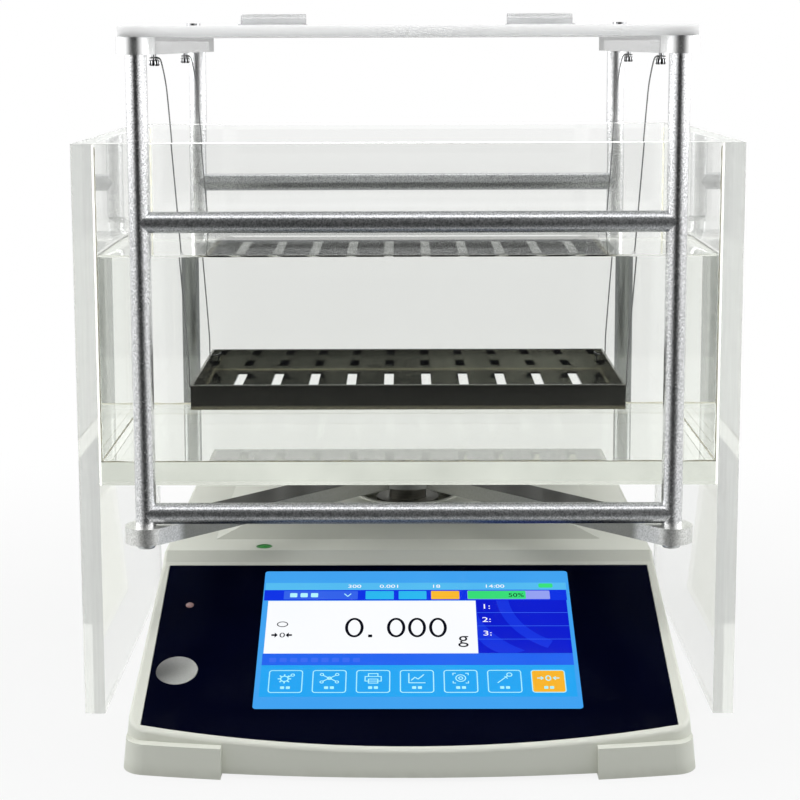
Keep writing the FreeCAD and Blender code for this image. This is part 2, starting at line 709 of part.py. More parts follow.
block = box("block_bar", (-cell_half, cell_half), (cell_rear - s.block_length, cell_rear),
            (tray_top, s.cell_under))
block_holes = [rod(f"block_hole_{step}", "Z", bolt_bore, s.cell_under - tray_top + 2, 0, y, tray_top - 1)
               for step, y in enumerate(cell_bolts)]
pieces.append(cut("load_cell_block", block, block_holes))

pieces.append(rod("overload_stop", "Z", s.stop_diameter / 2, s.cell_under - s.stop_gap - tray_top,
                  0, hub_y, tray_top))


# ---- electronics on the tray ---------------------------------------------------------------

pieces.append(box("main_board", (-board_half, board_half), (board_low, board_low + s.board_depth),
                  (board_under, board_under + s.board_thick)))
pieces.append(box("socket_board", socket_board_x, socket_board_y, (socket_board_under, socket_top)))

jack_block = box("jack_block", (jack_x - s.jack_width / 2, jack_x + s.jack_width / 2),
                 (socket_face - s.socket_depth, socket_face), (socket_top, socket_top + s.jack_height))
jack_bore = rod("jack_bore", "Y", s.jack_bore / 2, s.jack_bore_depth + 1, jack_x,
                socket_face - s.jack_bore_depth, socket_top + s.jack_height / 2)
pieces.append(cut("power_inlet", jack_block, [jack_bore]))

port_block = box("port_block", (port_x - s.port_width / 2, port_x + s.port_width / 2),
                 (socket_face - s.socket_depth, socket_face), (socket_top, socket_top + s.port_height))
port_recess = box("port_recess", (port_x - s.port_width / 4, port_x + s.port_width / 4),
                  (socket_face - s.socket_depth / 2, socket_face + 1),
                  (socket_top + s.port_rim, socket_top + s.port_height - s.port_rim))
pieces.append(cut("data_port", port_block, [port_recess]))

pieces.append(box("battery_pack", (battery_x - s.battery_width / 2, battery_x + s.battery_width / 2),
                  (hub_y - s.battery_front, hub_y - s.battery_front + s.battery_depth),
                  (tray_top, tray_top + s.battery_height)))

ribbon_y = board_low + s.board_depth - s.ribbon_thick * 5
ribbon_along = (float(panel_y) - float(ribbon_y)) / math.cos(incline) - module_under * math.tan(incline)
ribbon_top = panel_point(ribbon_along, module_under)[1]
ribbon_low = Vector(float(s.ribbon_x), float(ribbon_y), float(board_under + s.board_thick))
ribbon = Part.makeBox(float(s.ribbon_width), float(s.ribbon_thick), ribbon_top - ribbon_low.z, ribbon_low)
pieces.append(solid("screen_ribbon", ribbon))


# ---- tank: five sheets cemented edge to edge -------------------------------------------------

tank_half = s.tank_width / 2
tank_inner = tank_half - s.acrylic_sheet
tank_y = (hub_y - s.tank_depth / 2, hub_y + s.tank_depth / 2)
for name, side in (("left", -1), ("right", 1)):
    edges = (-tank_half, -tank_inner) if side < 0 else (tank_inner, tank_half)
    pieces.append(box(f"tank_{name}_wall", edges, tank_y, (0, s.tank_height)))
for name, low in (("front", tank_y[0]), ("rear", tank_y[1] - s.acrylic_sheet)):
    pieces.append(box(f"tank_{name}_wall", (-tank_inner, tank_inner), (low, low + s.acrylic_sheet),
                      (s.tank_floor_under, s.tank_height)))
pieces.append(box("tank_floor", (-tank_inner, tank_inner),
                  (tank_y[0] + s.acrylic_sheet, tank_y[1] - s.acrylic_sheet),
                  (s.tank_floor_under, s.tank_floor_under + s.acrylic_sheet)))


# ---- spindle, dust collar and spider ---------------------------------------------------------

foot_under = cell_top + s.weighing_gap
shaft = rod("spindle_shaft", "Z", s.spindle_diameter / 2, s.spider_under - foot_under, 0, hub_y, foot_under)
flange = rod("spindle_foot", "Z", s.spindle_foot_diameter / 2, s.spindle_foot_thick, 0, hub_y, foot_under)
hub_screw_places = []
for step in range(3):
    angle = math.radians(90 + 120 * step)
    hub_screw_places.append((s.hub_screw_pitch / 2 * math.cos(angle),
                             hub_y + s.hub_screw_pitch / 2 * math.sin(angle)))
hub_bore = s.hub_screw_diameter / 2 + s.screw_fit / 2
threads = [rod(f"spindle_thread_{n}", "Z", hub_bore, s.hub_screw_grip + 1, x, y,
               s.spider_under - s.hub_screw_grip) for n, (x, y) in enumerate(hub_screw_places)]
pieces.append(cut("spindle", fuse("spindle_turning", [shaft, flange]), threads))

collar_under = well_floor + s.collar_gap
ring = rod("collar_disc", "Z", s.collar_diameter / 2, s.collar_thick, 0, hub_y, collar_under)
ring_bore = rod("collar_bore", "Z", s.spindle_diameter / 2 + s.screw_fit / 2, s.collar_thick + 2, 0, hub_y,
                collar_under - 1)
pieces.append(cut("dust_collar", ring, [ring_bore]))

spider = body("spider", 0, hub_y, s.spider_under)
reach = (post_x * post_x + post_y * post_y).number ** 0.5
tilt_x = float(post_y) / reach
tilt_y = float(post_x) / reach
half_arm = s.arm_width / 2
end_radius = s.arm_end_diameter / 2
for side in SIDES:
    arm = sketch_on(spider, "XY_Plane")
    offset_x = half_arm * tilt_x
    offset_y = half_arm * tilt_y * side
    tip_x = end_radius * tilt_x
    tip_y = end_radius * tilt_y * side
    draw_outline(arm, [
        (-post_x - tip_x, -side * post_y + tip_y), (-offset_x, offset_y),
        (post_x - tip_x, side * post_y + tip_y), (post_x + tip_x, side * post_y - tip_y),
        (offset_x, -offset_y), (-post_x + tip_x, -side * post_y - tip_y),
    ])
    pad(spider, arm, s.spider_thick)
ends = sketch_on(spider, "XY_Plane")
for _, x, y in POSTS:
    draw_circle(ends, x * post_x, y * post_y, end_radius)
pad(spider, ends, s.spider_thick)
hub_disc = sketch_on(spider, "XY_Plane")
draw_circle(hub_disc, 0, 0, s.hub_diameter / 2)
pad(spider, hub_disc, s.spider_thick)
holes = sketch_on(spider, "XY_Plane")
frame_bore = s.frame_screw_diameter / 2 + s.screw_fit / 2
for _, x, y in POSTS:
    draw_circle(holes, x * post_x, y * post_y, frame_bore)
for x, y in hub_screw_places:
    draw_circle(holes, x, y - hub_y, hub_bore)
pocket(spider, holes, s.spider_thick)
pieces.append(spider)

hub_screws = []
for number, (x, y) in enumerate(hub_screw_places):
    shank = rod(f"hub_screw_shank_{number}", "Z", s.hub_screw_diameter / 2,
                s.spider_thick + s.hub_screw_grip - 1, x, y, s.spider_under - s.hub_screw_grip + 1)
    head = rod(f"hub_screw_head_{number}", "Z", s.hub_screw_head / 2, s.hub_screw_diameter, x, y,
               spider_top)
    hub_screws.append(fuse(f"hub_screw_{number}", [shank, head]))
pieces.append(fuse("hub_screws", hub_screws))


# ---- posts and cross bars of round rod --------------------------------------------------------

bar_heights = (lower_bar_height, s.upper_bar_height)
bar_bore = s.bar_screw_diameter / 2 + s.screw_fit / 2
for name, x, y in POSTS:
    at = (x * post_x, hub_y + y * post_y)
    plain = rod(f"plain_post_{name}", "Z", rod_radius, s.side_bar_under - spider_top, *at, spider_top)
    cutters = [
        rod(f"post_low_thread_{name}", "Z", frame_bore, s.foot_screw_grip + 0.2, *at, spider_top),
        rod(f"post_high_thread_{name}", "Z", frame_bore, s.frame_screw_grip + 1, *at,
            s.side_bar_under - s.frame_screw_grip - 1),
    ]
    for level, height in enumerate(bar_heights):
        start = at[0] - rod_radius - 1
        cutters.append(rod(f"post_cross_{name}_{level}", "X", bar_bore, s.rod_diameter + 2, start, at[1],
                           height))
        sink = at[0] + x * (rod_radius - s.bar_screw_sink) + (0 if x > 0 else -s.rod_diameter)
        cutters.append(rod(f"post_sink_{name}_{level}", "X", s.bar_screw_head / 2 + s.screw_fit / 2,
                           s.rod_diameter, sink, at[1], height))
    pieces.append(cut(f"post_{name}", plain, cutters))

bar_screws = []
for end, y in (("front", -1), ("rear", 1)):
    for level, height in zip(("lower", "upper"), bar_heights):
        name = f"{end}_{level}_bar"
        line = hub_y + y * post_y
        plain = rod(f"plain_{name}", "X", rod_radius, 2 * post_x, -post_x, line, height)
        cutters = []
        for side in SIDES:
            key = f"{name}_{'left' if side < 0 else 'right'}"
            cutters.append(rod(f"coping_{key}", "Z", rod_radius + s.coping_clearance, s.rod_diameter + 2,
                               side * post_x, line, height - rod_radius - 1))
            start = side * post_x - (s.bar_screw_grip if side > 0 else 0)
            cutters.append(rod(f"bar_thread_{key}", "X", bar_bore, s.bar_screw_grip, start, line, height))
            outer = rod_radius - s.bar_screw_sink
            length = outer + s.bar_screw_grip - 1
            begin = side * post_x + (outer - length if side > 0 else -outer)
            shank = rod(f"bar_screw_shank_{key}", "X", s.bar_screw_diameter / 2, length, begin, line,
                        height)
            seat = side * post_x + (outer if side > 0 else -outer - s.bar_screw_head_height)
            head = rod(f"bar_screw_head_{key}", "X", s.bar_screw_head / 2, s.bar_screw_head_height,
                       seat, line, height)
            bar_screws.append(fuse(f"bar_screw_{key}", [shank, head]))
        pieces.append(cut(name, plain, cutters))
pieces.append(fuse("bar_screws", bar_screws))


post_screws = []
for name, x, y in POSTS:
    at = (x * post_x, hub_y + y * post_y)
    for end, low, high, head_low in (
        ("foot", s.spider_under, spider_top + s.foot_screw_grip,
         s.spider_under - s.frame_screw_head_height),
        ("top", s.side_bar_under - s.frame_screw_grip, side_bar_top - s.frame_screw_head_height,
         side_bar_top - s.frame_screw_head_height),
    ):
        shank = rod(f"{end}_shank_{name}", "Z", s.frame_screw_diameter / 2, high - low, *at, low)
        head = rod(f"{end}_head_{name}", "Z", s.frame_screw_head / 2, s.frame_screw_head_height, *at,
                   head_low)
        post_screws.append(fuse(f"{end}_screw_{name}", [shank, head]))
pieces.append(fuse("post_screws", post_screws))


# ---- side bars: flat bar with a rounded front end ----------------------------------------------

hook_places = [(side * post_x, hub_y + y * s.hook_pitch_y / 2) for side in SIDES for y in SIDES]
hook_bore = s.hook_neck_diameter / 2 + s.screw_fit / 2
plate_screw_y = plate_rear - s.rear_plate_depth / 2
plate_bore = s.plate_screw_diameter / 2 + s.screw_fit / 2
half_bar = s.side_bar_width / 2
for name, side in (("left", -1), ("right", 1)):
    flat = body(f"side_bar_{name}", side * post_x, hub_y, s.side_bar_under)
    outline = sketch_on(flat, "XY_Plane")
    draw_box(outline, (-half_bar, half_bar), (-post_y, frame_reach))
    pad(flat, outline, s.side_bar_thick)
    nose = sketch_on(flat, "XY_Plane")
    draw_circle(nose, 0, -post_y, half_bar)
    pad(flat, nose, s.side_bar_thick)
    drilling = sketch_on(flat, "XY_Plane")
    for y in SIDES:
        draw_circle(drilling, 0, y * post_y, frame_bore)
        draw_circle(drilling, 0, y * s.hook_pitch_y / 2, hook_bore)
    draw_circle(drilling, 0, plate_screw_y - hub_y, plate_bore)
    pocket(flat, drilling, s.side_bar_thick)
    sinks = sketch_on(flat, "XY_Plane", s.side_bar_thick - s.frame_screw_head_height)
    for y in SIDES:
        draw_circle(sinks, 0, y * post_y, s.frame_screw_head / 2 + s.screw_fit)
    pocket(flat, sinks, s.frame_screw_head_height)
    pieces.append(flat)

hooks = []
neck_under = s.side_bar_under - s.hook_neck_length
for number, (x, y) in enumerate(hook_places):
    shank = rod(f"hook_neck_{number}", "Z", s.hook_neck_diameter / 2,
                s.hook_neck_length + s.side_bar_thick - 1, x, y, neck_under)
    head = rod(f"hook_head_{number}", "Z", s.hook_head_diameter / 2, s.hook_head_height, x, y,
               neck_under - s.hook_head_height)
    hooks.append(fuse(f"hook_screw_{number}", [shank, head]))
pieces.append(fuse("wire_hook_screws", hooks))


# ---- top plate: rear strip, hinges and lid -------------------------------------------------------

plate_half = s.top_plate_width / 2
strip = box("strip_blank", (-plate_half, plate_half), (rear_plate_front, plate_rear),
            (side_bar_top, plate_top))
strip_holes = [rod(f"strip_hole_{side}", "Z", plate_bore, s.top_plate_thick + 2, side * post_x,
                   plate_screw_y, side_bar_top - 1) for side in SIDES]
pieces.append(cut("rear_plate", strip, strip_holes))

plate_screws = []
for side in SIDES:
    shank = rod(f"plate_screw_shank_{side}", "Z", s.plate_screw_diameter / 2,
                s.top_plate_thick + s.side_bar_thick - 1, side * post_x, plate_screw_y,
                s.side_bar_under + 1)
    head = rod(f"plate_screw_head_{side}", "Z", s.plate_screw_head / 2, s.plate_screw_head_height,
               side * post_x, plate_screw_y, plate_top)
    plate_screws.append(fuse(f"plate_screw_{side}", [shank, head]))
pieces.append(fuse("rear_plate_screws", plate_screws))

lid_front = hub_y - frame_reach
pieces.append(box("lid_plate", (-plate_half, plate_half), (lid_front, rear_plate_front - s.plate_gap),
                  (side_bar_top, plate_top)))

KNUCKLES = 4
knuckle_radius = s.knuckle_diameter / 2
hinge_height = plate_top + knuckle_radius + s.knuckle_gap
segment = s.hinge_width / KNUCKLES
leaf_start = knuckle_radius + s.knuckle_gap
pin_bore = s.hinge_pin_diameter / 2 + s.running_clearance


def hinge_leaf(key, middle, toward, first):
    """One leaf with every second knuckle: toward is +1 for the rear plate, -1 for the lid."""
    left = middle - s.hinge_width / 2
    near = hinge_y + toward * leaf_start
    far = hinge_y + toward * (leaf_start + s.leaf_depth)
    span = (near, far) if toward > 0 else (far, near)
    leaf = [box(f"{key}_leaf", (left, left + s.hinge_width), span, (plate_top, plate_top + s.leaf_thick))]
    for number in range(first, KNUCKLES, 2):
        low = left + number * segment + (s.knuckle_gap / 2 if number else 0)
        high = left + (number + 1) * segment - (s.knuckle_gap / 2 if number < KNUCKLES - 1 else 0)
        web = (hinge_y, near) if toward > 0 else (near, hinge_y)
        leaf.append(rod(f"{key}_knuckle_{number}", "X", knuckle_radius, high - low, low, hinge_y,
                        hinge_height))
        leaf.append(box(f"{key}_web_{number}", (low, high), web,
                        (hinge_height - knuckle_radius * 0.9, plate_top + s.leaf_thick)))
    bore = rod(f"{key}_bore", "X", pin_bore, s.hinge_width + 2, left - 1, hinge_y, hinge_height)
    return cut(f"{key}_hinge_leaf", fuse(f"{key}_leaf_blank", leaf), [bore])


fixed_leaves = []
lid_leaves = []
pins = []
for name, side in (("left", -1), ("right", 1)):
    middle = side * s.hinge_spacing / 2
    fixed_leaves.append(hinge_leaf(f"fixed_{name}", middle, 1, 0))
    lid_leaves.append(hinge_leaf(f"lid_{name}", middle, -1, 1))
    pins.append(rod(f"hinge_pin_{name}", "X", s.hinge_pin_diameter / 2, s.hinge_width,
                    middle - s.hinge_width / 2, hinge_y, hinge_height))
pieces.append(fuse("fixed_hinge_leaves", fixed_leaves))
pieces.append(fuse("lid_hinge_leaves", lid_leaves))
pieces.append(fuse("hinge_pins", pins))


# ---- basket of folded sheet, slotted floor ---------------------------------------------------------

basket_x = s.basket_width / 2
basket_y = (hub_y - s.basket_depth / 2, hub_y + s.basket_depth / 2)
basket_rim = s.basket_under + s.basket_height
basket_floor = s.basket_under + s.basket_sheet
outside = box("basket_blank", (-basket_x, basket_x), basket_y, (s.basket_under, basket_rim))
cutters = [box("basket_inside", (-basket_x + s.basket_sheet, basket_x - s.basket_sheet),
               (basket_y[0] + s.basket_sheet, basket_y[1] - s.basket_sheet),
               (basket_floor, basket_rim + 1))]
slots = int(float(s.slot_count))
for number in range(slots):
    middle = (number - (slots - 1) / 2) * s.slot_pitch
    cutters.append(box(f"basket_slot_{number}", (middle - s.slot_width / 2, middle + s.slot_width / 2),
                       (hub_y - s.slot_length / 2, hub_y + s.slot_length / 2),
                       (s.basket_under - 1, basket_floor + 1)))
wire_hole_height = basket_rim - s.wire_hole_diameter
wire_foot_height = wire_hole_height + (s.wire_hole_diameter - s.wire_diameter) / 2 - s.wire_hole_gap
wire_ring_height = s.side_bar_under - s.hook_neck_length + s.wire_diameter / 2 + s.wire_gap
for number, (x, y) in enumerate(hook_places):
    start = -basket_x - 1 if float(x) < 0 else basket_x - s.basket_sheet - 1
    cutters.append(rod(f"basket_wire_hole_{number}", "X", s.wire_hole_diameter / 2, s.basket_sheet + 2,
                       start, y, wire_hole_height))
pieces.append(cut("basket", outside, cutters))


# ---- suspension wires: a ring round the hook screw, a long run, a hooked foot ----------------------

def make_wire(side):
    """One wire in its own plane, drawn from the ring's middle; side is -1 at the left."""
    wire = float(s.wire_diameter) / 2
    ring = float(s.hook_neck_diameter) / 2 + float(s.wire_ring_clearance) + wire
    drop = float(wire_ring_height - wire_foot_height)
    inward = float(post_x - basket_x)
    beside = inward - float(s.wire_standoff)
    clear = float(s.hook_head_diameter) / 2 + float(s.wire_gap) + 2 * wire
    below = float(s.hook_head_height) + ring
    points = [Vector(ring, 0, 0), Vector(clear, 0, 0), Vector(clear, 0, -below),
              Vector(0.36 * inward, 0, -0.1 * drop), Vector(0.5 * inward, 0, -0.3 * drop),
              Vector(beside, 0, -0.93 * drop), Vector(beside, 0, -drop),
              Vector(inward + float(s.wire_foot), 0, -drop)]
    points = [Vector(-side * p.x, p.y, p.z) for p in points]
    path = []
    start = points[0]
    for before, corner, after in zip(points, points[1:], points[2:]):
        into = (corner - before).normalize()
        out = (after - corner).normalize()
        turn = into.getAngle(out)
        trim = 0.45 * min(corner.distanceToPoint(before), corner.distanceToPoint(after))
        if turn > 1:
            trim = min(trim, 2.5 * wire)
        enter = corner - into * trim
        leave = corner + out * trim
        inwards = (out - into).normalize()
        radius = trim / math.tan(turn / 2)
        middle = corner + inwards * (radius / math.cos(turn / 2) - radius)
        path.append(Part.LineSegment(start, enter).toShape())
        path.append(Part.Arc(enter, middle, leave).toShape())
        start = leave
    path.append(Part.LineSegment(start, points[-1]).toShape())
    spine = Part.Wire(path)
    section = Part.Wire(Part.Circle(points[0], (points[1] - points[0]), wire).toShape())
    tube = spine.makePipeShell([section], True, False)
    loop = Part.makeTorus(ring, wire)
    return tube.fuse(loop)


for name, x, y in POSTS:
    piece = solid(f"wire_{name}", make_wire(x))
    move_to(piece, x * post_x, hub_y + y * s.hook_pitch_y / 2, wire_ring_height)
    pieces.append(piece)


# ---- check every object, then write one STEP file for each piece ------------------------------------

doc.recompute()
for item in doc.Objects:
    if "Invalid" in item.State or "Error" in item.State:
        raise RuntimeError(f"{item.Label} failed: {item.State}")
for piece in pieces:
    if piece.Shape.isNull() or not piece.Shape.isValid() or not piece.Shape.Solids:
        raise RuntimeError(f"{piece.Label} has no valid solid")
os.makedirs("parts", exist_ok=True)
for piece in pieces:
    piece.Shape.exportStep(f"parts/{piece.Label}.step")
print(f"{len(pieces)} pieces written")
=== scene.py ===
import math

import bmesh
import bpy
from mathutils import Matrix, Vector


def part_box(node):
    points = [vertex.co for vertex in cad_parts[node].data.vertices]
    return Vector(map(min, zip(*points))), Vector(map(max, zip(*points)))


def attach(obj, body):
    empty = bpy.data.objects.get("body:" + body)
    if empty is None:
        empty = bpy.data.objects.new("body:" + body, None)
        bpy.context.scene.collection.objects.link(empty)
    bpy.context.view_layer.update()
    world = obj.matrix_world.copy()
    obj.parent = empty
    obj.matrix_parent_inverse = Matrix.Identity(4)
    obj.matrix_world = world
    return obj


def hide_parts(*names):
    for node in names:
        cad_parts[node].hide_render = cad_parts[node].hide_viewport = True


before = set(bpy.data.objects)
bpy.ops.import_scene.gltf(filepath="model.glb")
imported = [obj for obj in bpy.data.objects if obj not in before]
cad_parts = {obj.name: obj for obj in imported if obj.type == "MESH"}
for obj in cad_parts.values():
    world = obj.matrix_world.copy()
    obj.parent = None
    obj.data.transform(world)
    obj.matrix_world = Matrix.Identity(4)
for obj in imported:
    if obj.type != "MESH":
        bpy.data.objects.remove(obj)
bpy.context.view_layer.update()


# ---- the bench, the room and the point of view -------------------------------------------
# The instrument stands on a pale bench in a white room. Soft lamps stand at its sides, over its
# Metal and glass mirror a darker room ahead and, on the bench ahead of the instrument, a painted dark
# reflection.

def colour(code):
    """A colour written as it looks, #rrggbb, in the linear values that shaders take."""
    parts = [int(code[n:n + 2], 16) / 255 for n in (1, 3, 5)]
    return tuple(p / 12.92 if p <= 0.04045 else ((p + 0.055) / 1.055) ** 2.4 for p in parts) + (1.0,)


class Socket:
    """One socket of a node tree: arithmetic on it adds Math nodes, node() adds any other."""

    def __init__(self, tree, socket=None):
        self.tree = tree
        self.socket = socket

    def node(self, kind, settings=None, inputs=None, output=0):
        """A node of a type: its settings first, then its sockets' values or links."""
        node = self.tree.nodes.new(kind)
        for name, value in (settings or {}).items():
            setattr(node, name, value)
        for name, value in (inputs or {}).items():
            for one in value if isinstance(value, list) else [value]:
                if isinstance(one, Socket):
                    self.tree.links.new(one.socket, node.inputs[name])
                else:
                    node.inputs[name].default_value = colour(one) if str(one).startswith("#") else one
        return Socket(self.tree, node.outputs[output] if node.outputs else None)

    def math(self, operation, *values):
        return self.node("ShaderNodeMath", {"operation": operation}, dict(enumerate(values)))

    def __add__(self, other):
        return self.math("ADD", self, other)

    def __sub__(self, other):
        return self.math("SUBTRACT", self, other)

    def __rsub__(self, other):
        return self.math("SUBTRACT", other, self)

    def __mul__(self, other):
        return self.math("MULTIPLY", self, other)

    def __truediv__(self, other):
        return self.math("DIVIDE", self, other)

    __radd__ = __add__
    __rmul__ = __mul__

    def axis(self, number):
        """One coordinate of a vector."""
        return self.node("ShaderNodeSeparateXYZ", inputs={0: self}, output=number)

    def stretch(self, *factors):
        """A vector scaled along each axis."""
        return self.node("ShaderNodeVectorMath", {"operation": "MULTIPLY"}, {0: self, 1: factors})

    def rise(self, low, high):
        """0 below one value, 1 above another, and smooth between them."""
        bounds = {"Value": self, "From Min": low, "From Max": high}
        return self.node("ShaderNodeMapRange", {"interpolation_type": "SMOOTHSTEP"}, bounds)

    def noise(self, scale, detail=2.0, roughness=0.5):
        """Soft random values over a position, with so many features to the metre."""
        sizes = {"Vector": self, "Scale": scale, "Detail": detail, "Roughness": roughness}
        return self.node("ShaderNodeTexNoise", inputs=sizes)

    def tint(self, low, high):
        """A colour between two, by this value."""
        return self.node("ShaderNodeMix", {"data_type": "RGBA"}, {0: self, 6: low, 7: high}, 2)

    def relief(self, depth, strength=1.0):
        """This value as a height in metres, for a shader's Normal."""
        return self.node("ShaderNodeBump", inputs={"Height": self, "Distance": depth,
                                                   "Strength": strength})

    def path(self, output):
        """What the light path says: 1 for rays of a kind, or how often a ray has bounced."""
        return self.node("ShaderNodeLightPath", output=output)

    def over(self, other):
        """The larger of two values."""
        return self.math("MAXIMUM", self, other)

    def through(self, operation):
        """A value put through a sum of one value, such as SINE."""
        return self.math(operation, self)

    def size(self):
        """A value without its sign."""
        return self.through("ABSOLUTE")


def finish(build, name=None):
    """A material that a function describes from Object coordinates, with the function's name."""
    material = bpy.data.materials.new(name or build.__name__)
    material.use_nodes = True
    tree = material.node_tree
    tree.nodes.clear()
    place = Socket(tree).node("ShaderNodeTexCoord", output="Object")
    shader = build(place)
    if isinstance(shader, dict):
        shader = place.node("ShaderNodeBsdfPrincipled", inputs=shader)
    place.node("ShaderNodeOutputMaterial", inputs={"Surface": shader})
    return material


EYE = Vector((-0.00266, -0.97325, 0.3280))
LOOK_DOWN, LOOK_LEFT, ROLL = math.radians(8.137), math.radians(0.375), math.radians(-0.184)
viewer = bpy.data.cameras.new("viewer")
viewer.lens = 84.44
viewer.shift_x = 0.0121
viewer.shift_y = -0.1112
viewer.clip_start = 0.01
camera = bpy.data.objects.new("viewer", viewer)
camera.matrix_world = (Matrix.Translation(EYE) @ Matrix.Rotation(LOOK_LEFT, 4, "Z")
                       @ Matrix.Rotation(math.pi / 2 - LOOK_DOWN, 4, "X")
                       @ Matrix.Rotation(ROLL, 4, "Z"))
bpy.context.scene.collection.objects.link(camera)
bpy.context.scene.camera = camera
bpy.context.scene.view_settings.view_transform = "Standard"

room = bpy.data.worlds.new("white_room")
bpy.context.scene.world = room
room.use_nodes = True
room.node_tree.nodes.clear()
air = Socket(room.node_tree)
toward = air.node("ShaderNodeTexCoord", output="Generated")
beside = (toward.axis(0) + 0.06).size().rise(0.2, 0.92)
ahead = toward.axis(1).rise(-0.05, 0.35) * (1 - toward.axis(1).rise(0.9, 0.97) * 0.6)
overhead = toward.axis(2).rise(0.55, 1.0) * 0.3
sunken = air.path("Transmission Depth").rise(4.5, 5.5)
mirrored = (0.025 + (beside * 2.0).over(ahead).over(overhead)) * (1 - sunken * 0.6)
daylight = 0.2 + toward.axis(2).rise(-0.1, 1.0) * 0.34
backdrop = air.path("Is Camera Ray").over(air.path("Is Transmission Ray"))
reflected = air.path("Is Glossy Ray")
level = backdrop + (1 - backdrop) * (reflected * mirrored + (1 - reflected) * daylight)
glow = air.node("ShaderNodeBackground", inputs={"Color": "#ffffff", "Strength": level})
air.node("ShaderNodeOutputWorld", inputs={"Surface": glow})


def softbox(name, place, width, height, watts, target=(0, 0, 0.15)):
    """A large soft lamp that faces the instrument."""
    lamp = bpy.data.lights.new(name, "AREA")
    lamp.shape = "RECTANGLE"
    lamp.size = width
    lamp.size_y = height
    lamp.energy = watts
    holder = bpy.data.objects.new(name, lamp)
    holder.location = place
    aim = Vector(target) - Vector(place)
    holder.rotation_euler = aim.to_track_quat("-Z", "Y").to_euler()
    holder.visible_camera = False
    holder.visible_transmission = False
    bpy.context.scene.collection.objects.link(holder)
    return holder


softbox("left_softbox", (-1.35, 0.12, 0.8), 0.9, 0.9, 12)
softbox("right_softbox", (1.35, 0.12, 0.8), 0.9, 0.9, 11)
softbox("front_softbox", (0.0, -0.7, 1.6), 1.5, 0.5, 9)
softbox("rear_softbox", (0.0, 0.9, 1.5), 1.4, 0.7, 5)
# This one stands for the light that the opal top plate lets through.
plate_glow = softbox("plate_glow", (0.0, 0.02, 0.329), 0.24, 0.24, 1.4, (0.0, 0.02, 0.0))
plate_glow.visible_glossy = False


@finish
def bench_top(place):
    """White to the eye and grey paint to the light; in reflections partly painted white, and painted black
    ahead as a dark reflection in upright metal.
    """
    paint = place.node("ShaderNodeBsdfDiffuse",
                       inputs={"Color": place.noise(14, 3).tint("#b7b9b8", "#bfc1c0")})
    seen = place.path("Is Camera Ray").over(place.path("Is Transmission Ray"))
    away = place.node("ShaderNodeVectorMath", {"operation": "LENGTH"}, {0: place}, 1).rise(0.22, 0.6)
    mirrored_bench = place.path("Glossy Depth").rise(0.2, 0.8)
    # Seen in reflections, the bench is painted partly white: painted light.
    share = seen * (0.86 + 0.14 * away) + mirrored_bench * 0.4
    white = place.node("ShaderNodeEmission", inputs={"Color": "#ffffff", "Strength": 1.0})
    top = place.node("ShaderNodeMixShader", inputs={0: share, 1: paint, 2: white})
    # Painted dark reflection: where metal mirrors the bench ahead of the instrument, it is painted black.
    forward = (0 - place.axis(1) - 0.1).over(0.01)
    aside = (place.axis(0) + 0.03).size() / forward
    painted_dark_reflection = mirrored_bench * aside.rise(1.6, 0.1) * forward.rise(0.08, 0.25)
    dark = place.node("ShaderNodeEmission", inputs={"Color": "#000000", "Strength": 0.0})
    return place.node("ShaderNodeMixShader", inputs={0: painted_dark_reflection * 0.96, 1: top, 2: dark})


BENCH_REACH, BENCH_TOP, BENCH_THICK = 6, -0.0002, 0.03
slab = bmesh.new()
bmesh.ops.create_cube(slab, size=1)
bmesh.ops.scale(slab, vec=(2 * BENCH_REACH, 2 * BENCH_REACH, BENCH_THICK), verts=slab.verts)
bmesh.ops.translate(slab, vec=(0, 0, BENCH_TOP - BENCH_THICK / 2), verts=slab.verts)
bench = bpy.data.meshes.new("bench")
slab.to_mesh(bench)
bench.materials.append(bench_top)
bench = bpy.data.objects.new("bench", bench)
bpy.context.scene.collection.objects.link(bench)


# ---- tray, rubber feet and thumbwheels ---------------------------------------------------
# The moulded tray closes the cover from below. Each foot is a rubber pad under a zinc-plated
# stud with a knurled thumbwheel, which is screwed into a boss of the tray.

def dress(material, *nodes):
    """Give carried-over pieces their finish."""
    for node in nodes:
        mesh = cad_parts[node].data
        mesh.materials.clear()
        mesh.materials.append(material)


def settle(name, form, body, material=None, stands_for=(), crease=32):
    """A finished piece from a mesh or a mesh under construction, riding on a body."""
    if isinstance(form, bmesh.types.BMesh):
        bmesh.ops.recalc_face_normals(form, faces=form.faces)
        mesh = bpy.data.meshes.new(name)
        form.to_mesh(mesh)
        form.free()
    else:
        mesh = form
    if material:
        mesh.materials.clear()
        mesh.materials.append(material)
    mesh.shade_smooth()
    mesh.set_sharp_from_angle(angle=math.radians(crease))
    piece = bpy.data.objects.new(name, mesh)
    bpy.context.scene.collection.objects.link(piece)
    if stands_for:
        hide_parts(*stands_for)
    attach(piece, body)
    return piece


@finish
def tray_plastic(place):
    grain = place.noise(2200, 3)
    mottle = place.noise(30, 3)
    return {"Base Color": mottle.tint("#4c4e4e", "#585a5a"),
            "Roughness": 0.5 + 0.2 * grain, "Normal": grain.relief(0.00005, 0.5)}


@finish
def foot_rubber(place):
    grain = place.noise(900, 4)
    dust = place.axis(2).rise(0.003, 0.0)
    return {"Base Color": (grain * dust).tint("#1d1d1d", "#4a4845"),
            "Roughness": 0.72 + 0.15 * grain, "Normal": grain.relief(0.0001, 0.5)}


@finish
def zinc_plate(place):
    bloom = place.noise(420, 3)
    scratch = place.stretch(1, 1, 14).noise(600, 2)
    return {"Base Color": bloom.tint("#b9bcc0", "#d6d7d3"), "Metallic": 1.0,
            "Roughness": 0.22 + 0.2 * bloom, "Normal": scratch.relief(0.00003, 0.5)}


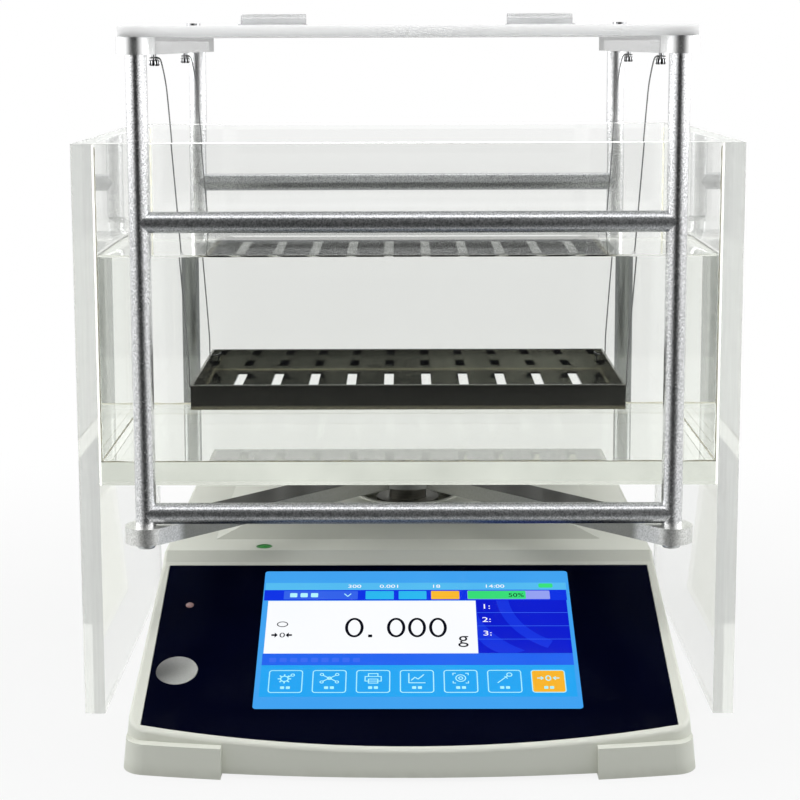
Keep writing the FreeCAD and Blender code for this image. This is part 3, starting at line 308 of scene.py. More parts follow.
def growth(name, sizes):
    """A Geometry Nodes tree with named inputs: the tree, and each input by name."""
    tree = bpy.data.node_groups.new(name, "GeometryNodeTree")
    kinds = {"Material": "NodeSocketMaterial", "Points": "NodeSocketGeometry"}
    for label in ["Points", *sizes, "Material"]:
        kind = kinds.get(label, "NodeSocketInt" if isinstance(sizes.get(label), int) else "NodeSocketFloat")
        tree.interface.new_socket(label, in_out="INPUT", socket_type=kind)
    tree.interface.new_socket("Geometry", in_out="OUTPUT", socket_type="NodeSocketGeometry")
    source = tree.nodes.new("NodeGroupInput")
    return Socket(tree), {socket.name: Socket(tree, socket) for socket in source.outputs if socket.name}


def close_growth(start, unit, given):
    """End a tree: its unit at every point, turned to the point's aim, made real and finished."""
    aim = start.node("GeometryNodeInputNamedAttribute", {"data_type": "FLOAT_VECTOR"}, {"Name": "aim"})
    turn = start.node("FunctionNodeAlignRotationToVector", {"axis": "Z"}, {"Vector": aim})
    spread = start.node("GeometryNodeInstanceOnPoints",
                        inputs={"Points": given["Points"], "Instance": unit, "Rotation": turn})
    real = start.node("GeometryNodeRealizeInstances", inputs={0: spread})
    done = start.node("GeometryNodeSetMaterial", inputs={"Geometry": real, "Material": given["Material"]})
    start.node("NodeGroupOutput", inputs={0: done})


def grow(name, tree, places, sizes, material, body, stands_for=(), crease=32):
    """Run a tree on points, each a (place, aim) pair, and settle the plain mesh it makes."""
    seed = bpy.data.meshes.new(f"{name}_points")
    seed.from_pydata([place for place, _ in places], [], [])
    aims = seed.attributes.new("aim", "FLOAT_VECTOR", "POINT")
    for item, (_, aim) in zip(aims.data, places):
        item.vector = aim
    holder = bpy.data.objects.new(f"{name}_points", seed)
    bpy.context.scene.collection.objects.link(holder)
    grower = holder.modifiers.new("growth", "NODES")
    grower.node_group = tree
    for item in tree.interface.items_tree:
        if item.in_out == "INPUT" and item.name in sizes:
            grower[item.identifier] = sizes[item.name]
        if item.in_out == "INPUT" and item.name == "Material":
            grower[item.identifier] = material
    grown = holder.evaluated_get(bpy.context.evaluated_depsgraph_get())
    mesh = bpy.data.meshes.new_from_object(grown)
    mesh.name = name
    holder.modifiers.remove(grower)
    bpy.data.objects.remove(holder)
    for extra in [a for a in mesh.attributes if a.name == "aim"]:
        mesh.attributes.remove(extra)
    return settle(name, mesh, body, None, stands_for, crease)


def cylinder(start, sides, radius, length, rings=1):
    """A bar round the axis, its middle at the origin."""
    return start.node("GeometryNodeMeshCylinder", inputs={
        "Vertices": sides, "Side Segments": rings, "Radius": radius, "Depth": length})


def lifted(form, height):
    """A form moved up the axis."""
    lift = form.node("ShaderNodeCombineXYZ", inputs={2: height})
    return form.node("GeometryNodeTransform", inputs={"Geometry": form, "Translation": lift})


def widened(form, share):
    """A form whose points move out from the axis by a share of their distance from it."""
    spot = form.node("GeometryNodeInputPosition")
    flat = form.node("ShaderNodeCombineXYZ", inputs={0: spot.axis(0), 1: spot.axis(1)})
    shift = form.node("ShaderNodeVectorMath", {"operation": "SCALE"}, {0: flat, "Scale": share})
    return form.node("GeometryNodeSetPosition", inputs={"Geometry": form, "Offset": shift})


def joined(*forms):
    """Several forms as one."""
    return forms[0].node("GeometryNodeJoinGeometry", inputs={0: list(forms)})


def ridged_bar(start, radius, length, low, pitch, ridge):
    """A bar that starts at a height, with thread ridges turned into it."""
    bar = cylinder(start, 24, radius, length, (length / pitch * 4).through("ROUND"))
    turn = start.node("GeometryNodeInputPosition").axis(2) * (2 * math.pi) / pitch
    return lifted(widened(bar, (turn.through("SINE") - 1) * 0.5 * ridge / radius), low + length * 0.5)


def knurled_disc(start, knurls, radius, height, depth, bevel):
    """A disc with a knurled rim, its edges bevelled by so many knurl depths, its foot at the origin."""
    disc = cylinder(start, knurls * 4, radius, height, 6)
    spot = start.node("GeometryNodeInputPosition")
    around = spot.math("ARCTAN2", spot.axis(1), spot.axis(0)) * knurls
    chamfer = (spot.axis(2).size() / height * 2).rise(0.6, 1.05)
    share = (around.through("COSINE") * 0.5 - 0.5 - chamfer * bevel) * depth / radius
    return lifted(widened(disc, share), height * 0.5)


WHEEL_SIZES = {"Wheel Radius": 0.009, "Wheel Under": 0.0, "Wheel Height": 0.006, "Knurls": 40,
               "Knurl Depth": 0.0004, "Stud Radius": 0.003, "Stud Length": 0.008,
               "Nose Radius": 0.0025, "Nose Length": 0.0018, "Pitch": 0.001, "Ridge": 0.00035}
start, given = growth("thumbwheel", WHEEL_SIZES)
wheel = knurled_disc(start, given["Knurls"], given["Wheel Radius"], given["Wheel Height"],
                     given["Knurl Depth"], 1.6)
stud = ridged_bar(start, given["Stud Radius"], given["Stud Length"], given["Wheel Height"],
                  given["Pitch"], given["Ridge"])
nose = cylinder(start, 24, given["Nose Radius"], given["Nose Length"])
unit = joined(wheel, stud, lifted(nose, given["Nose Length"] * -0.5))
close_growth(start, lifted(unit, given["Wheel Under"]), given)

CORNERS = ("front_left", "front_right", "rear_left", "rear_right")
PAD_THICK, FOOT_GAP = 0.003, 0.0003
WHEEL_LOW, WHEEL_TOP = PAD_THICK + FOOT_GAP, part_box("base_tray")[0].z - FOOT_GAP
dress(tray_plastic, "base_tray")
dress(zinc_plate, "underside_screws")
for corner in CORNERS:
    dress(foot_rubber, f"foot_pad_{corner}")
    low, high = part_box(f"foot_stud_{corner}")
    centre = (low + high) / 2
    sizes = WHEEL_SIZES | {"Wheel Radius": (high.x - low.x) / 2, "Wheel Under": WHEEL_LOW,
                           "Wheel Height": WHEEL_TOP - WHEEL_LOW, "Stud Length": high.z - WHEEL_TOP}
    grow(f"thumbwheel_{corner}", start.tree, [((centre.x, centre.y, 0), (0, 0, 1))], sizes,
         zinc_plate, f"foot_stud_{corner}", [f"foot_stud_{corner}"])


# ---- load cell, boards and battery -------------------------------------------------------
# The machined aluminium load cell is bolted to its block on the tray, with a stop under its
# free end. Two circuit boards stand on pillars beside it, and a rechargeable pack on the tray.

@finish
def machined_aluminium(place):
    lay = place.stretch(1, 24, 24).noise(260, 3)
    return {"Base Color": lay.tint("#c6c9cc", "#dcdedf"), "Metallic": 1.0,
            "Roughness": 0.28 + 0.18 * lay, "Normal": lay.relief(0.00002, 0.6)}


@finish
def turned_steel(place):
    rings = place.stretch(1, 1, 60).noise(90, 2)
    return {"Base Color": rings.tint("#65635c", "#8b8982"), "Metallic": 1.0,
            "Roughness": 0.24 + 0.16 * rings, "Normal": rings.relief(0.00002, 0.6)}


@finish
def circuit_board(place):
    tracks = place.stretch(1, 1, 0).node("ShaderNodeTexBrick", inputs={
        "Scale": 300, "Mortar Size": 0.06, "Color1": "#0c4a2b", "Color2": "#0f5632",
        "Mortar": "#2c8a55"})
    return {"Base Color": tracks, "Roughness": 0.3 + 0.2 * place.noise(500), "Coat Weight": 0.4}


@finish
def shrink_wrap(place):
    folds = place.stretch(3, 1, 1).noise(70, 3)
    return {"Base Color": folds.tint("#1c2a55", "#26366a"),
            "Roughness": 0.3 + 0.2 * folds, "Normal": folds.relief(0.0006, 0.5)}


@finish
def ribbon_cable(place):
    cores = (place.axis(0) * 5000).through("SINE")
    return {"Base Color": cores.rise(-1, 1).tint("#b9b9b4", "#dededa"),
            "Roughness": 0.45 + 0.1 * cores, "Normal": cores.relief(0.0002, 0.6)}


@finish
def black_moulding(place):
    grain = place.noise(1900, 3)
    return {"Base Color": grain.tint("#141414", "#1f1f20"),
            "Roughness": 0.42 + 0.2 * grain, "Normal": grain.relief(0.00006, 0.5)}


dress(machined_aluminium, "load_cell", "load_cell_block")
dress(turned_steel, "overload_stop")
dress(circuit_board, "main_board", "socket_board", "power_switch")
dress(shrink_wrap, "battery_pack")
dress(ribbon_cable, "screen_ribbon")
dress(black_moulding, "power_inlet", "data_port", "screen_module")

PIN_SIZES = {"Pin Radius": 0.0005, "Pin Length": 0.0048}
start, given = growth("contact_pin", PIN_SIZES)
shaft = cylinder(start, 12, given["Pin Radius"], given["Pin Length"])
tip = start.node("GeometryNodeMeshUVSphere", inputs={
    "Segments": 12, "Rings": 6, "Radius": given["Pin Radius"]})
unit = joined(lifted(shaft, given["Pin Length"] * 0.5), lifted(tip, given["Pin Length"]))
close_growth(start, unit, given)


@finish
def gilt_contact(place):
    wear = place.noise(900)
    return {"Base Color": wear.tint("#c9a24a", "#e3c77a"), "Metallic": 1.0,
            "Roughness": 0.25 + 0.15 * wear}


PIN_PITCH, PIN_ROW, PORT_DEPTH, INLET_DEPTH = 0.0028, 0.0022, 0.007, 0.0094
low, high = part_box("data_port")
middle = (low + high) / 2
pins = [((middle.x + (n - (count - 1) / 2) * PIN_PITCH, high.y - PORT_DEPTH, middle.z + row), (0, 1, 0))
        for count, row in ((5, PIN_ROW / 2), (4, -PIN_ROW / 2)) for n in range(count)]
grow("data_port_pins", start.tree, pins, PIN_SIZES, gilt_contact, "base")
low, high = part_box("power_inlet")
middle = (low + high) / 2
grow("power_inlet_pin", start.tree, [((middle.x, high.y - INLET_DEPTH, middle.z), (0, 1, 0))],
     {"Pin Radius": 0.00105, "Pin Length": 0.007}, gilt_contact, "base")


# ---- moulded cover -----------------------------------------------------------------------
# One injection moulding of pale grey-green plastic with a fine spark-eroded texture: sloped
# front with a recess for the panel, a level shelf, and a low pyramid round the spindle's well.

@finish
def housing_plastic(place):
    grain = place.noise(2600, 2)
    cloud = place.noise(9, 2)
    soil = place.axis(2).rise(0.006, 0.0) * place.noise(160, 3)
    skin = cloud.tint("#ced0c6", "#d6d8ce")
    skin = (soil * 0.5).tint(skin, "#a9a99d")
    return {"Base Color": skin, "Roughness": 0.42 + 0.14 * grain,
            "Normal": grain.relief(0.00005, 0.35)}


dress(housing_plastic, "top_cover")


# ---- touch panel, display picture and indicator ------------------------------------------
# A sheet of dark printed glass lies in the cover's recess. The lit picture of the display shows
# through it: bars, keys and a reading, laid out in millimetres from the picture's top left corner.

INCLINE = math.radians(22.5)
PANEL_GLASS = 0.0012
low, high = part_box("touch_panel")
panel_rear = Vector((0, high.y - PANEL_GLASS * math.sin(INCLINE), high.z))
panel_frame = Matrix.Translation(panel_rear) @ Matrix.Rotation(INCLINE, 4, "X")


@finish
def printed_glass(place):
    smear = place.noise(38, 4)
    return {"Base Color": smear.tint("#020310", "#030518"), "IOR": 1.06,
            "Roughness": 0.1 + 0.05 * smear}


@finish
def indicator_lens(place):
    glint = place.noise(700)
    return {"Base Color": glint.tint("#7c3434", "#a08a88"), "Roughness": 0.2 + 0.1 * glint,
            "Coat Weight": 1.0}


def turned(profile, centre, sides=48):
    """A closed turned form from (radius, height) points, from the axis below to the axis above."""
    form = bmesh.new()
    rings = []
    for radius, height in profile:
        if radius < 1e-6:
            rings.append([form.verts.new((centre[0], centre[1], height))])
        else:
            rings.append([form.verts.new((centre[0] + radius * math.cos(2 * math.pi * n / sides),
                                          centre[1] + radius * math.sin(2 * math.pi * n / sides), height))
                          for n in range(sides)])
    for lower, upper in zip(rings, rings[1:]):
        for n in range(sides):
            corners = [lower[n % len(lower)], lower[(n + 1) % len(lower)],
                       upper[(n + 1) % len(upper)], upper[n % len(upper)]]
            form.faces.new(list(dict.fromkeys(corners)))
    return form


def dome(radius, foot, rise):
    """The profile of a crowned top, from its edge to the axis."""
    turns = [math.radians(a) for a in range(0, 90, 15)]
    return [(radius * math.cos(t), foot + rise * math.sin(t)) for t in turns] + [(0, foot + rise)]


dress(printed_glass, "touch_panel")
dress(indicator_lens, "status_led")
low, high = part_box("status_led")
lamp_spot = panel_frame.inverted() @ Vector(((low.x + high.x) / 2, (low.y + high.y) / 2, high.z))
LENS_RADIUS, LENS_ROOT, LENS_EDGE, LENS_CROWN = (high.x - low.x) / 2, -0.0006, 0.00003, 0.0004
lens = turned([(0, LENS_ROOT), (LENS_RADIUS, LENS_ROOT)] + dome(LENS_RADIUS, LENS_EDGE, LENS_CROWN),
              lamp_spot, 32)
bmesh.ops.transform(lens, matrix=panel_frame, verts=lens.verts)
settle("indicator_dome", lens, "base", indicator_lens)

PICTURE_WIDTH, PICTURE_LENGTH = 153.0, 101.0
PICTURE_LEFT, PICTURE_TOP = 4 - PICTURE_WIDTH / 2, 4.8
LAYER = 0.03


def lit(name, code, glow_code):
    """A colour of the lit picture: backlight through fine cells, a little uneven."""
    def build(place):
        cells = (place.axis(0) * 24000).through("SINE")
        haze = place.noise(26, 2)
        light = (haze * 0.8).tint(code, glow_code)
        # Painted dark reflection: where metal or glass mirrors the picture, its glow is dimmed to a
        # quarter.
        strength = (1.0 + 0.03 * cells) * (1 - place.path("Glossy Depth").rise(0.2, 0.8) * 0.75)
        light = place.node("ShaderNodeVectorMath", {"operation": "SCALE"}, {0: light, "Scale": strength})
        return {"Base Color": "#050510", "Roughness": 0.12 + 0.04 * haze, "IOR": 1.12,
                "Emission Color": light, "Emission Strength": 1.0}
    return finish(build, f"picture_{name}")


def rounded(x0, y0, x1, y1, radius=0.0, steps=5):
    """The outline of a rectangle with round corners."""
    if not radius:
        return [(x0, y0), (x1, y0), (x1, y1), (x0, y1)]
    outline = []
    for centre_x, centre_y, first in ((x1 - radius, y0 + radius, -90), (x1 - radius, y1 - radius, 0),
                                      (x0 + radius, y1 - radius, 90), (x0 + radius, y0 + radius, 180)):
        for step in range(steps + 1):
            angle = math.radians(first + 90 * step / steps)
            outline.append((centre_x + radius * math.cos(angle), centre_y + radius * math.sin(angle)))
    return outline


def oval(x, y, width, height, steps=28):
    """The outline of an oval."""
    turns = [2 * math.pi * n / steps for n in range(steps)]
    return [(x + width / 2 * math.cos(t), y + height / 2 * math.sin(t)) for t in turns]


def line(points, width, shut=False):
    """A run of strokes of even width, one outline for each, with their ends overlapped."""
    ends = points[1:] + points[:1] if shut else points[1:]
    strokes = []
    for (x0, y0), (x1, y1) in zip(points, ends):
        along = Vector((x1 - x0, y1 - y0)).normalized() * width / 2
        side = Vector((-along.y, along.x))
        start, end = Vector((x0, y0)) - along * 0.7, Vector((x1, y1)) + along * 0.7
        strokes.append([tuple(start + side), tuple(end + side), tuple(end - side), tuple(start - side)])
    return strokes


def ring(x, y, width, height, thick, steps=28):
    """An oval drawn as a closed stroke."""
    outer = oval(x, y, width + thick, height + thick, steps)
    inner = oval(x, y, width - thick, height - thick, steps)
    return [[outer[n], outer[(n + 1) % steps], inner[(n + 1) % steps], inner[n]] for n in range(steps)]


def picture(name, outlines, layer, shade):
    """Flat shapes of the picture, each a thin slab on its own layer over the panel."""
    form = bmesh.new()
    low, high = LAYER * (layer + 0.1), LAYER * (layer + 1)
    for outline in outlines:
        rings = []
        for height in (low, high):
            rings.append([form.verts.new((PICTURE_LEFT + x, -PICTURE_TOP - y, height)) for x, y in outline])
        form.faces.new(rings[0])
        form.faces.new(rings[1])
        for n in range(len(outline)):
            m = (n + 1) % len(outline)
            form.faces.new((rings[0][n], rings[0][m], rings[1][m], rings[1][n]))
    bmesh.ops.scale(form, vec=(0.001, 0.001, 0.001), verts=form.verts)
    bmesh.ops.transform(form, matrix=panel_frame, verts=form.verts)
    return settle(name, form, "base", SHADES[shade], crease=20)


def numerals(name, text, x, y, height, layer, shade, wide=1.0):
    """Plain figures of the picture, left edge and foot line given, set in a plain face."""
    letters = bpy.data.curves.new(name, "FONT")
    letters.body = text
    letters.size = height * 1.37
    letters.extrude = LAYER * 0.4
    holder = bpy.data.objects.new(name, letters)
    mesh = bpy.data.meshes.new_from_object(holder)
    bpy.data.objects.remove(holder)
    place = Matrix.Translation((PICTURE_LEFT + x, -PICTURE_TOP - y, LAYER * (layer + 0.6)))
    mesh.transform(place @ Matrix.Diagonal((wide, 1, 1, 1)))
    mesh.transform(Matrix.Scale(0.001, 4))
    mesh.transform(panel_frame)
    return settle(name, mesh, "base", SHADES[shade], crease=20)


SHADES = {name: lit(name, *codes) for name, codes in {
    "sky": ("#3d9ff0", "#46a8f2"), "pale_band": ("#4db4f0", "#5cc4f2"), "deep_blue": ("#0a2fe0", "#1038ea"),
    "mid_blue": ("#1e60ee", "#2a6cf2"), "menu_blue": ("#2e5ee6", "#3a68ec"),
    "list_blue": ("#0a18c8", "#0c22d8"), "swoosh_blue": ("#1230dc", "#1a3ae4"),
    "key_field": ("#1fa2f2", "#28acf4"), "cyan_key": ("#1fb0ec", "#35c0f2"),
    "orange_key": ("#f6ac18", "#ffc83c"), "lilac": ("#8f9cf0", "#9aa6f4"), "green": ("#2fd870", "#44e884"),
    "white_field": ("#ffffff", "#f6faff"), "ink": ("#05060a", "#0a0c12"),
    "pale_line": ("#9ff2ff", "#c4f8ff"), "soft_line": ("#3468f0", "#4474f4")}.items()}

KEYS, KEY_FIRST, KEY_PITCH, KEY_WIDTH, KEY_TOP, KEY_LOW = 7, 6.6, 20.62, 15.6, 74.8, 90.0
for name, edges, layer, shade in (
        ("display_picture", (0, 0, PICTURE_WIDTH, PICTURE_LENGTH, 1.6), 0, "sky"),
        ("status_band", (0.8, 9.3, 151.6, 14.9), 1, "pale_band"),
        ("header_bar", (0.5, 14.9, 151.4, 23.0), 1, "deep_blue"),
        ("reading_field", (2.8, 23.4, 105.8, 62.6), 1, "white_field"),
        ("list_field", (105.9, 23.0, 151.0, 62.6), 1, "list_blue"),
        ("hint_bar", (2.4, 62.7, 151.0, 71.0), 1, "mid_blue"),
        ("key_field", (2.4, 71.0, 151.0, 92.9), 1, "key_field"),
        ("mode_menu", (10.3, 15.7, 47.2, 22.2, 0.5), 2, "menu_blue")):
    picture(name, [rounded(*edges)], layer, shade)
picture("limit_keys", [rounded(51.1, 15.8, 65.2, 22.2, 0.5), rounded(67.6, 15.8, 81.5, 22.2, 0.5)], 2,
        "cyan_key")
LAST_KEY = KEY_FIRST + (KEYS - 1) * KEY_PITCH
picture("orange_keys", [rounded(83.8, 15.8, 97.9, 22.2, 0.5),
                        rounded(LAST_KEY, KEY_TOP, LAST_KEY + KEY_WIDTH, KEY_LOW, 1.4)], 2, "orange_key")
picture("progress_track", [rounded(101.9, 15.6, 143.0, 22.2, 0.6)], 2, "lilac")
picture("progress_fill", [rounded(102.1, 15.8, 131.0, 22.0, 0.5), rounded(137.8, 10.0, 144.9, 13.3, 1.0)],
        3, "green")

swooshes = []
for middle, reach, wide in ((150, 46, 9), (160, 38, 6)):
    arc = [math.radians(118 + 5.2 * n) for n in range(14)]
    band = [(middle + reach * math.cos(a), 20 + reach * math.sin(a)) for a in arc]
    band += [(middle + (reach + wide) * math.cos(a), 20 + (reach + wide) * math.sin(a)) for a in arc[::-1]]
    swooshes.append([(min(max(x, 106.2), 150.8), min(max(y, 23.2), 62.4)) for x, y in band])
picture("list_swooshes", swooshes, 2, "swoosh_blue")
picture("list_lines", [rounded(106, y - 0.15, 151, y + 0.15) for y in (32.6, 42.6, 52.4)], 3, "soft_line")
for row, y in enumerate((29.6, 39.6, 49.7), start=1):
    numerals(f"list_number_{row}", f"{row}:", 108.4, y, 3.7, 3, "white_field", 1.3)

zeros = [ring(x, 43.7, wide, 13.0, 1.5, 40)
         for x, wide in ((46.0, 7.6), (66.4, 7.5), (76.6, 7.3), (86.8, 7.2))]
picture("reading_zeros", sum(zeros, []) + [rounded(52.8, 48.9, 54.8, 50.9, 0.3)], 2, "ink")
numerals("reading_unit", "g", 96.4, 55.4, 8.6, 2, "ink")
numerals("progress_share", "50%", 122.2, 20.5, 3.0, 4, "ink", 1.15)
for name, figures, x in (("300", "300", 42.0), ("0_001", "0.001", 58.0), ("18", "18", 84.0),
                         ("14_00", "14:00", 110.5)):
    numerals(f"status_{name}", figures, x, 13.2, 2.5, 2, "white_field", 1.35)
numerals("zero_mark", "0", 9.6, 50.9, 3.6, 2, "ink", 1.2)
picture("stable_ring", ring(10.8, 41.2, 5.0, 3.6, 0.5), 2, "ink")
ARROW = ((5.0, 48.6), (3.4, 48.6), (3.4, 47.3), (1.9, 49.2), (3.4, 51.1), (3.4, 49.8), (5.0, 49.8))
picture("zero_arrows", [[(10.8 + side * x, y) for x, y in ARROW] for side in (-1, 1)], 2, "ink")
picture("menu_marks", line([(40.6, 18.0), (42.2, 20.0), (43.8, 18.0)], 0.5)
        + [rounded(13.4 + 5.2 * n, 17.4, 17.0 + 5.2 * n, 20.6, 0.5) for n in range(3)], 3, "pale_line")
picture("hint_marks", [rounded(5.8 + 5.0 * n, 65.8, 9.2 + 5.0 * n, 68.8, 0.6) for n in range(9)], 2,
        "soft_line")

KEY_SIZES = {"Width": 0.0156, "Height": 0.0152, "Corner": 0.0014, "Stroke": 0.0005, "Thickness": 0.00003}
start, given = growth("framed_key", KEY_SIZES)
loop = start.node("GeometryNodeCurvePrimitiveQuadrilateral", {"mode": "RECTANGLE"},
                  {"Width": given["Width"], "Height": given["Height"]})
loop = start.node("GeometryNodeFilletCurve", {"mode": "POLY"},
                  {"Curve": loop, "Count": 6, "Radius": given["Corner"]})
section = start.node("GeometryNodeCurvePrimitiveQuadrilateral", {"mode": "RECTANGLE"},
                     {"Width": given["Stroke"], "Height": given["Thickness"]})
unit = start.node("GeometryNodeCurveToMesh", inputs={"Curve": loop, "Profile Curve": section})
close_growth(start, unit, given)
key_spots = []
for number in range(KEYS):
    spot = Vector((PICTURE_LEFT + KEY_FIRST + KEY_WIDTH / 2 + number * KEY_PITCH,
                   -PICTURE_TOP - (KEY_TOP + KEY_LOW) / 2, LAYER * 3.6)) * 0.001
    key_spots.append((panel_frame @ spot, panel_frame.to_3x3() @ Vector((0, 0, 1))))
grow("key_frames", start.tree, key_spots, KEY_SIZES, SHADES["pale_line"], "base", crease=20)

ROUND = [(math.cos(math.radians(45 * n)), math.sin(math.radians(45 * n))) for n in range(8)]
DIAGONALS = [(a, b) for a in (-1, 1) for b in (-1, 1)]
# Each key's sign, round the middle of its frame's upper part: rings, then strokes (points, width, shut).
SIGNS = (
    ([(-0.6, 0.4, 3.6, 3.6, 0.6), (3.2, -2.2, 1.6, 1.6, 0.5)],
     [([(2 * a - 0.6, 2 * b + 0.4), (2.9 * a - 0.6, 2.9 * b + 0.4)], 0.7) for a, b in ROUND]
     + [([(1.4, -0.8), (2.4, -1.6)], 0.45)]),
    ([(3.6 * a, 2.6 * b, 1.5, 1.5, 0.45) for a, b in DIAGONALS] + [(0, 0, 1.8, 1.8, 0.5)],
     [([(0, 0), (3.0 * a, 2.0 * b)], 0.5) for a, b in DIAGONALS]),
    ([], [([(-2.2, -1.2), (-2.2, -3.2), (2.2, -3.2), (2.2, -1.2)], 0.5),
          ([(-3.8, -1.2), (3.8, -1.2), (3.8, 2), (-3.8, 2)], 0.5, True),
          ([(-2.2, 0.6), (2.2, 0.6), (2.2, 3.4), (-2.2, 3.4)], 0.5, True)]),
    ([], [([(-3.8, -3.2), (-3.8, 3.2), (3.8, 3.2)], 0.55),
          ([(-2.6, 1.4), (-1, -0.6), (0.6, 0.6), (3.2, -2.4)], 0.55)]),
    ([(0, 0, 4.6, 4.6, 0.5), (0, 0, 1.8, 1.8, 0.5)],
     [([(2.4 * a, 3.4 * b), (3.6 * a, 3.4 * b), (3.6 * a, 2.2 * b)], 0.45) for a, b in DIAGONALS]),
    ([(2.4, -2.4, 2.4, 2.4, 0.5)],
     [([(-3.2, 3.2), (-1.0, 1.0), (1.6, -1.6)], 0.5), ([(0.2, -1.2), (1.4, 0.2)], 0.5)]),
    ([(0, 0, 2.2, 3.2, 0.6)],
     [([(5 * a, 0), (2.6 * a, 0)], 0.6) for a in (-1, 1)]
     + [([(3.4 * a, -0.9), (2.4 * a, 0), (3.4 * a, 0.9)], 0.5) for a in (-1, 1)]))
signs = []
for number, (rings, strokes) in enumerate(SIGNS):
    x, y = KEY_FIRST + KEY_WIDTH / 2 + number * KEY_PITCH, KEY_TOP + 5.4
    outlines = sum([ring(*sizes) for sizes in rings] + [line(*stroke) for stroke in strokes], [])
    signs += [[(x + across, y + down) for across, down in outline] for outline in outlines]
    signs += [rounded(x + left, 85.8, x + left + 1.9, 87.6, 0.3) for left in (-2.3, 0.4)]
picture("key_signs", signs, 3, "pale_line")


# ---- power button ------------------------------------------------------------------------
# A satin nickel-plated cap with a shallow dish, which stands on a spring. Pressed down, it works
# the switch board under it.

@finish
def satin_nickel(place):
    spin = place.noise(1500, 2)
    return {"Base Color": spin.tint("#b2b3b3", "#c9c9c8"), "Metallic": 1.0,
            "Roughness": 0.26 + 0.1 * spin}


dress(satin_nickel, "power_button")


# ---- bubble level ------------------------------------------------------------------------
# A round vial of green liquid, set flush in the shelf, for levelling the instrument by its feet:
# a moulded rim, a low crowned window and a bubble under it.

@finish
def level_liquid(place):
    depth = place.noise(160)
    return {"Base Color": depth.tint("#0c7c1e", "#15922e"), "Roughness": 0.3 + 0.1 * depth,
            "Specular IOR Level": 0.15}


@finish
def level_rim(place):
    wear = place.noise(800)
    return {"Base Color": wear.tint("#0c6e22", "#127c2a"), "Roughness": 0.3 + 0.1 * wear}


@finish
def level_bubble(place):
    sheen = place.noise(300)
    return {"Base Color": sheen.tint("#2c9c40", "#3caa4e"), "Roughness": 0.2 + 0.1 * sheen}


RIM_WIDTH, RIM_STEP, BEVEL, LIQUID_DEPTH, CROWN = 0.0011, 0.0003, 0.0002, 0.0012, 0.00028
BUBBLE_RADIUS, BUBBLE_DEPTH = 0.0012, 0.0006
low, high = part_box("level_vial")
centre, outer, top = (low + high) / 2, (high.x - low.x) / 2, high.z
inner = outer - RIM_WIDTH
rim = [(0, low.z), (outer, low.z), (outer, top - BEVEL), (outer - BEVEL, top), (inner + BEVEL, top),
       (inner, top - RIM_STEP), (0, top - RIM_STEP)]
settle("level_vial_body", turned(rim, centre), "base", level_rim, ["level_vial"])
liquid = [(0, top - LIQUID_DEPTH), (inner, top - LIQUID_DEPTH)] + dome(inner, top - CROWN, CROWN)
settle("level_vial_liquid", turned(liquid, centre), "base", level_liquid)
bubble = [(0, top - BUBBLE_DEPTH), (BUBBLE_RADIUS, top - BUBBLE_DEPTH), (BUBBLE_RADIUS, top - BEVEL * 0.4),
          (BUBBLE_RADIUS - BEVEL, top), (0, top)]
settle("level_bubble", turned(bubble, centre + Vector((0.0004, -0.0003, 0)), 32), "base", level_bubble)


# ---- spindle, dust collar and spider -----------------------------------------------------
# The turned stainless spindle rises from the load cell through the well, with a collar that keeps
# dust out. The spider is a satin aluminium casting with four arms, screwed on top of it.

spider_low, spider_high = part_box("spider")
HUB = Vector((0, (spider_low.y + spider_high.y) / 2, spider_high.z))
# Squared distances from the hub within which the painted shade on the arms and the painted stripe of shade
# on their tops lie.
ARM_TOP_SHADE_END, ARM_SHADE_END = (0.0275, 0.0235), (0.0292, 0.0272)    # squared distances from the hub


@finish
def cast_satin(place):
    bead = place.noise(1250, 3)
    cloud = place.noise(40, 3)
    middle = place.axis(1) - HUB.y
    reach = middle * middle + place.axis(0) * place.axis(0)
    # Painted shade: the arms are painted darker, as under the tank, and their top faces darker still, as a
    # stripe of shade.
    arm_top_shade = reach.rise(*ARM_TOP_SHADE_END) * place.axis(2).rise(HUB.z - 0.0004, HUB.z - 0.0002)
    arm_shade = reach.rise(*ARM_SHADE_END)
    skin = (cloud * 0.35 + bead.rise(0.3, 0.7) * 0.65).tint("#c4c5c1", "#fbfbf9")
    skin = (arm_shade * 0.85).tint(skin, "#7b7c74")
    return {"Base Color": (arm_top_shade * 0.9).tint(skin, "#3f3e3b"), "Metallic": 0.9,
            "Roughness": 0.26 + 0.14 * bead, "Normal": bead.relief(0.00004, 0.5)}


dress(turned_steel, "spindle", "dust_collar")
dress(cast_satin, "spider")

SCREW_SIZES = {"Head Radius": 0.0043, "Head Height": 0.003, "Socket Radius": 0.0022, "Socket Depth": 0.0016,
               "Shank Radius": 0.0025, "Shank Length": 0.012, "Pitch": 0.0008, "Ridge": 0.0003}
start, given = growth("socket_screw", SCREW_SIZES)
head = cylinder(start, 40, given["Head Radius"], given["Head Height"], 8)
spot = start.node("GeometryNodeInputPosition")
edge = (spot.axis(2) / given["Head Height"] * 2).rise(0.7, 1.02)
head = lifted(widened(head, edge * -0.1), given["Head Height"] * 0.5)
key_hole = cylinder(start, 6, given["Socket Radius"], given["Socket Depth"] * 2)
head = start.node("GeometryNodeMeshBoolean", {"operation": "DIFFERENCE", "solver": "EXACT"},
                  {"Mesh 1": head, "Mesh 2": lifted(key_hole, given["Head Height"])})
shank = ridged_bar(start, given["Shank Radius"], given["Shank Length"], 0 - given["Shank Length"],
                   given["Pitch"], given["Ridge"])
close_growth(start, joined(head, shank), given)
socket_screw = start.tree

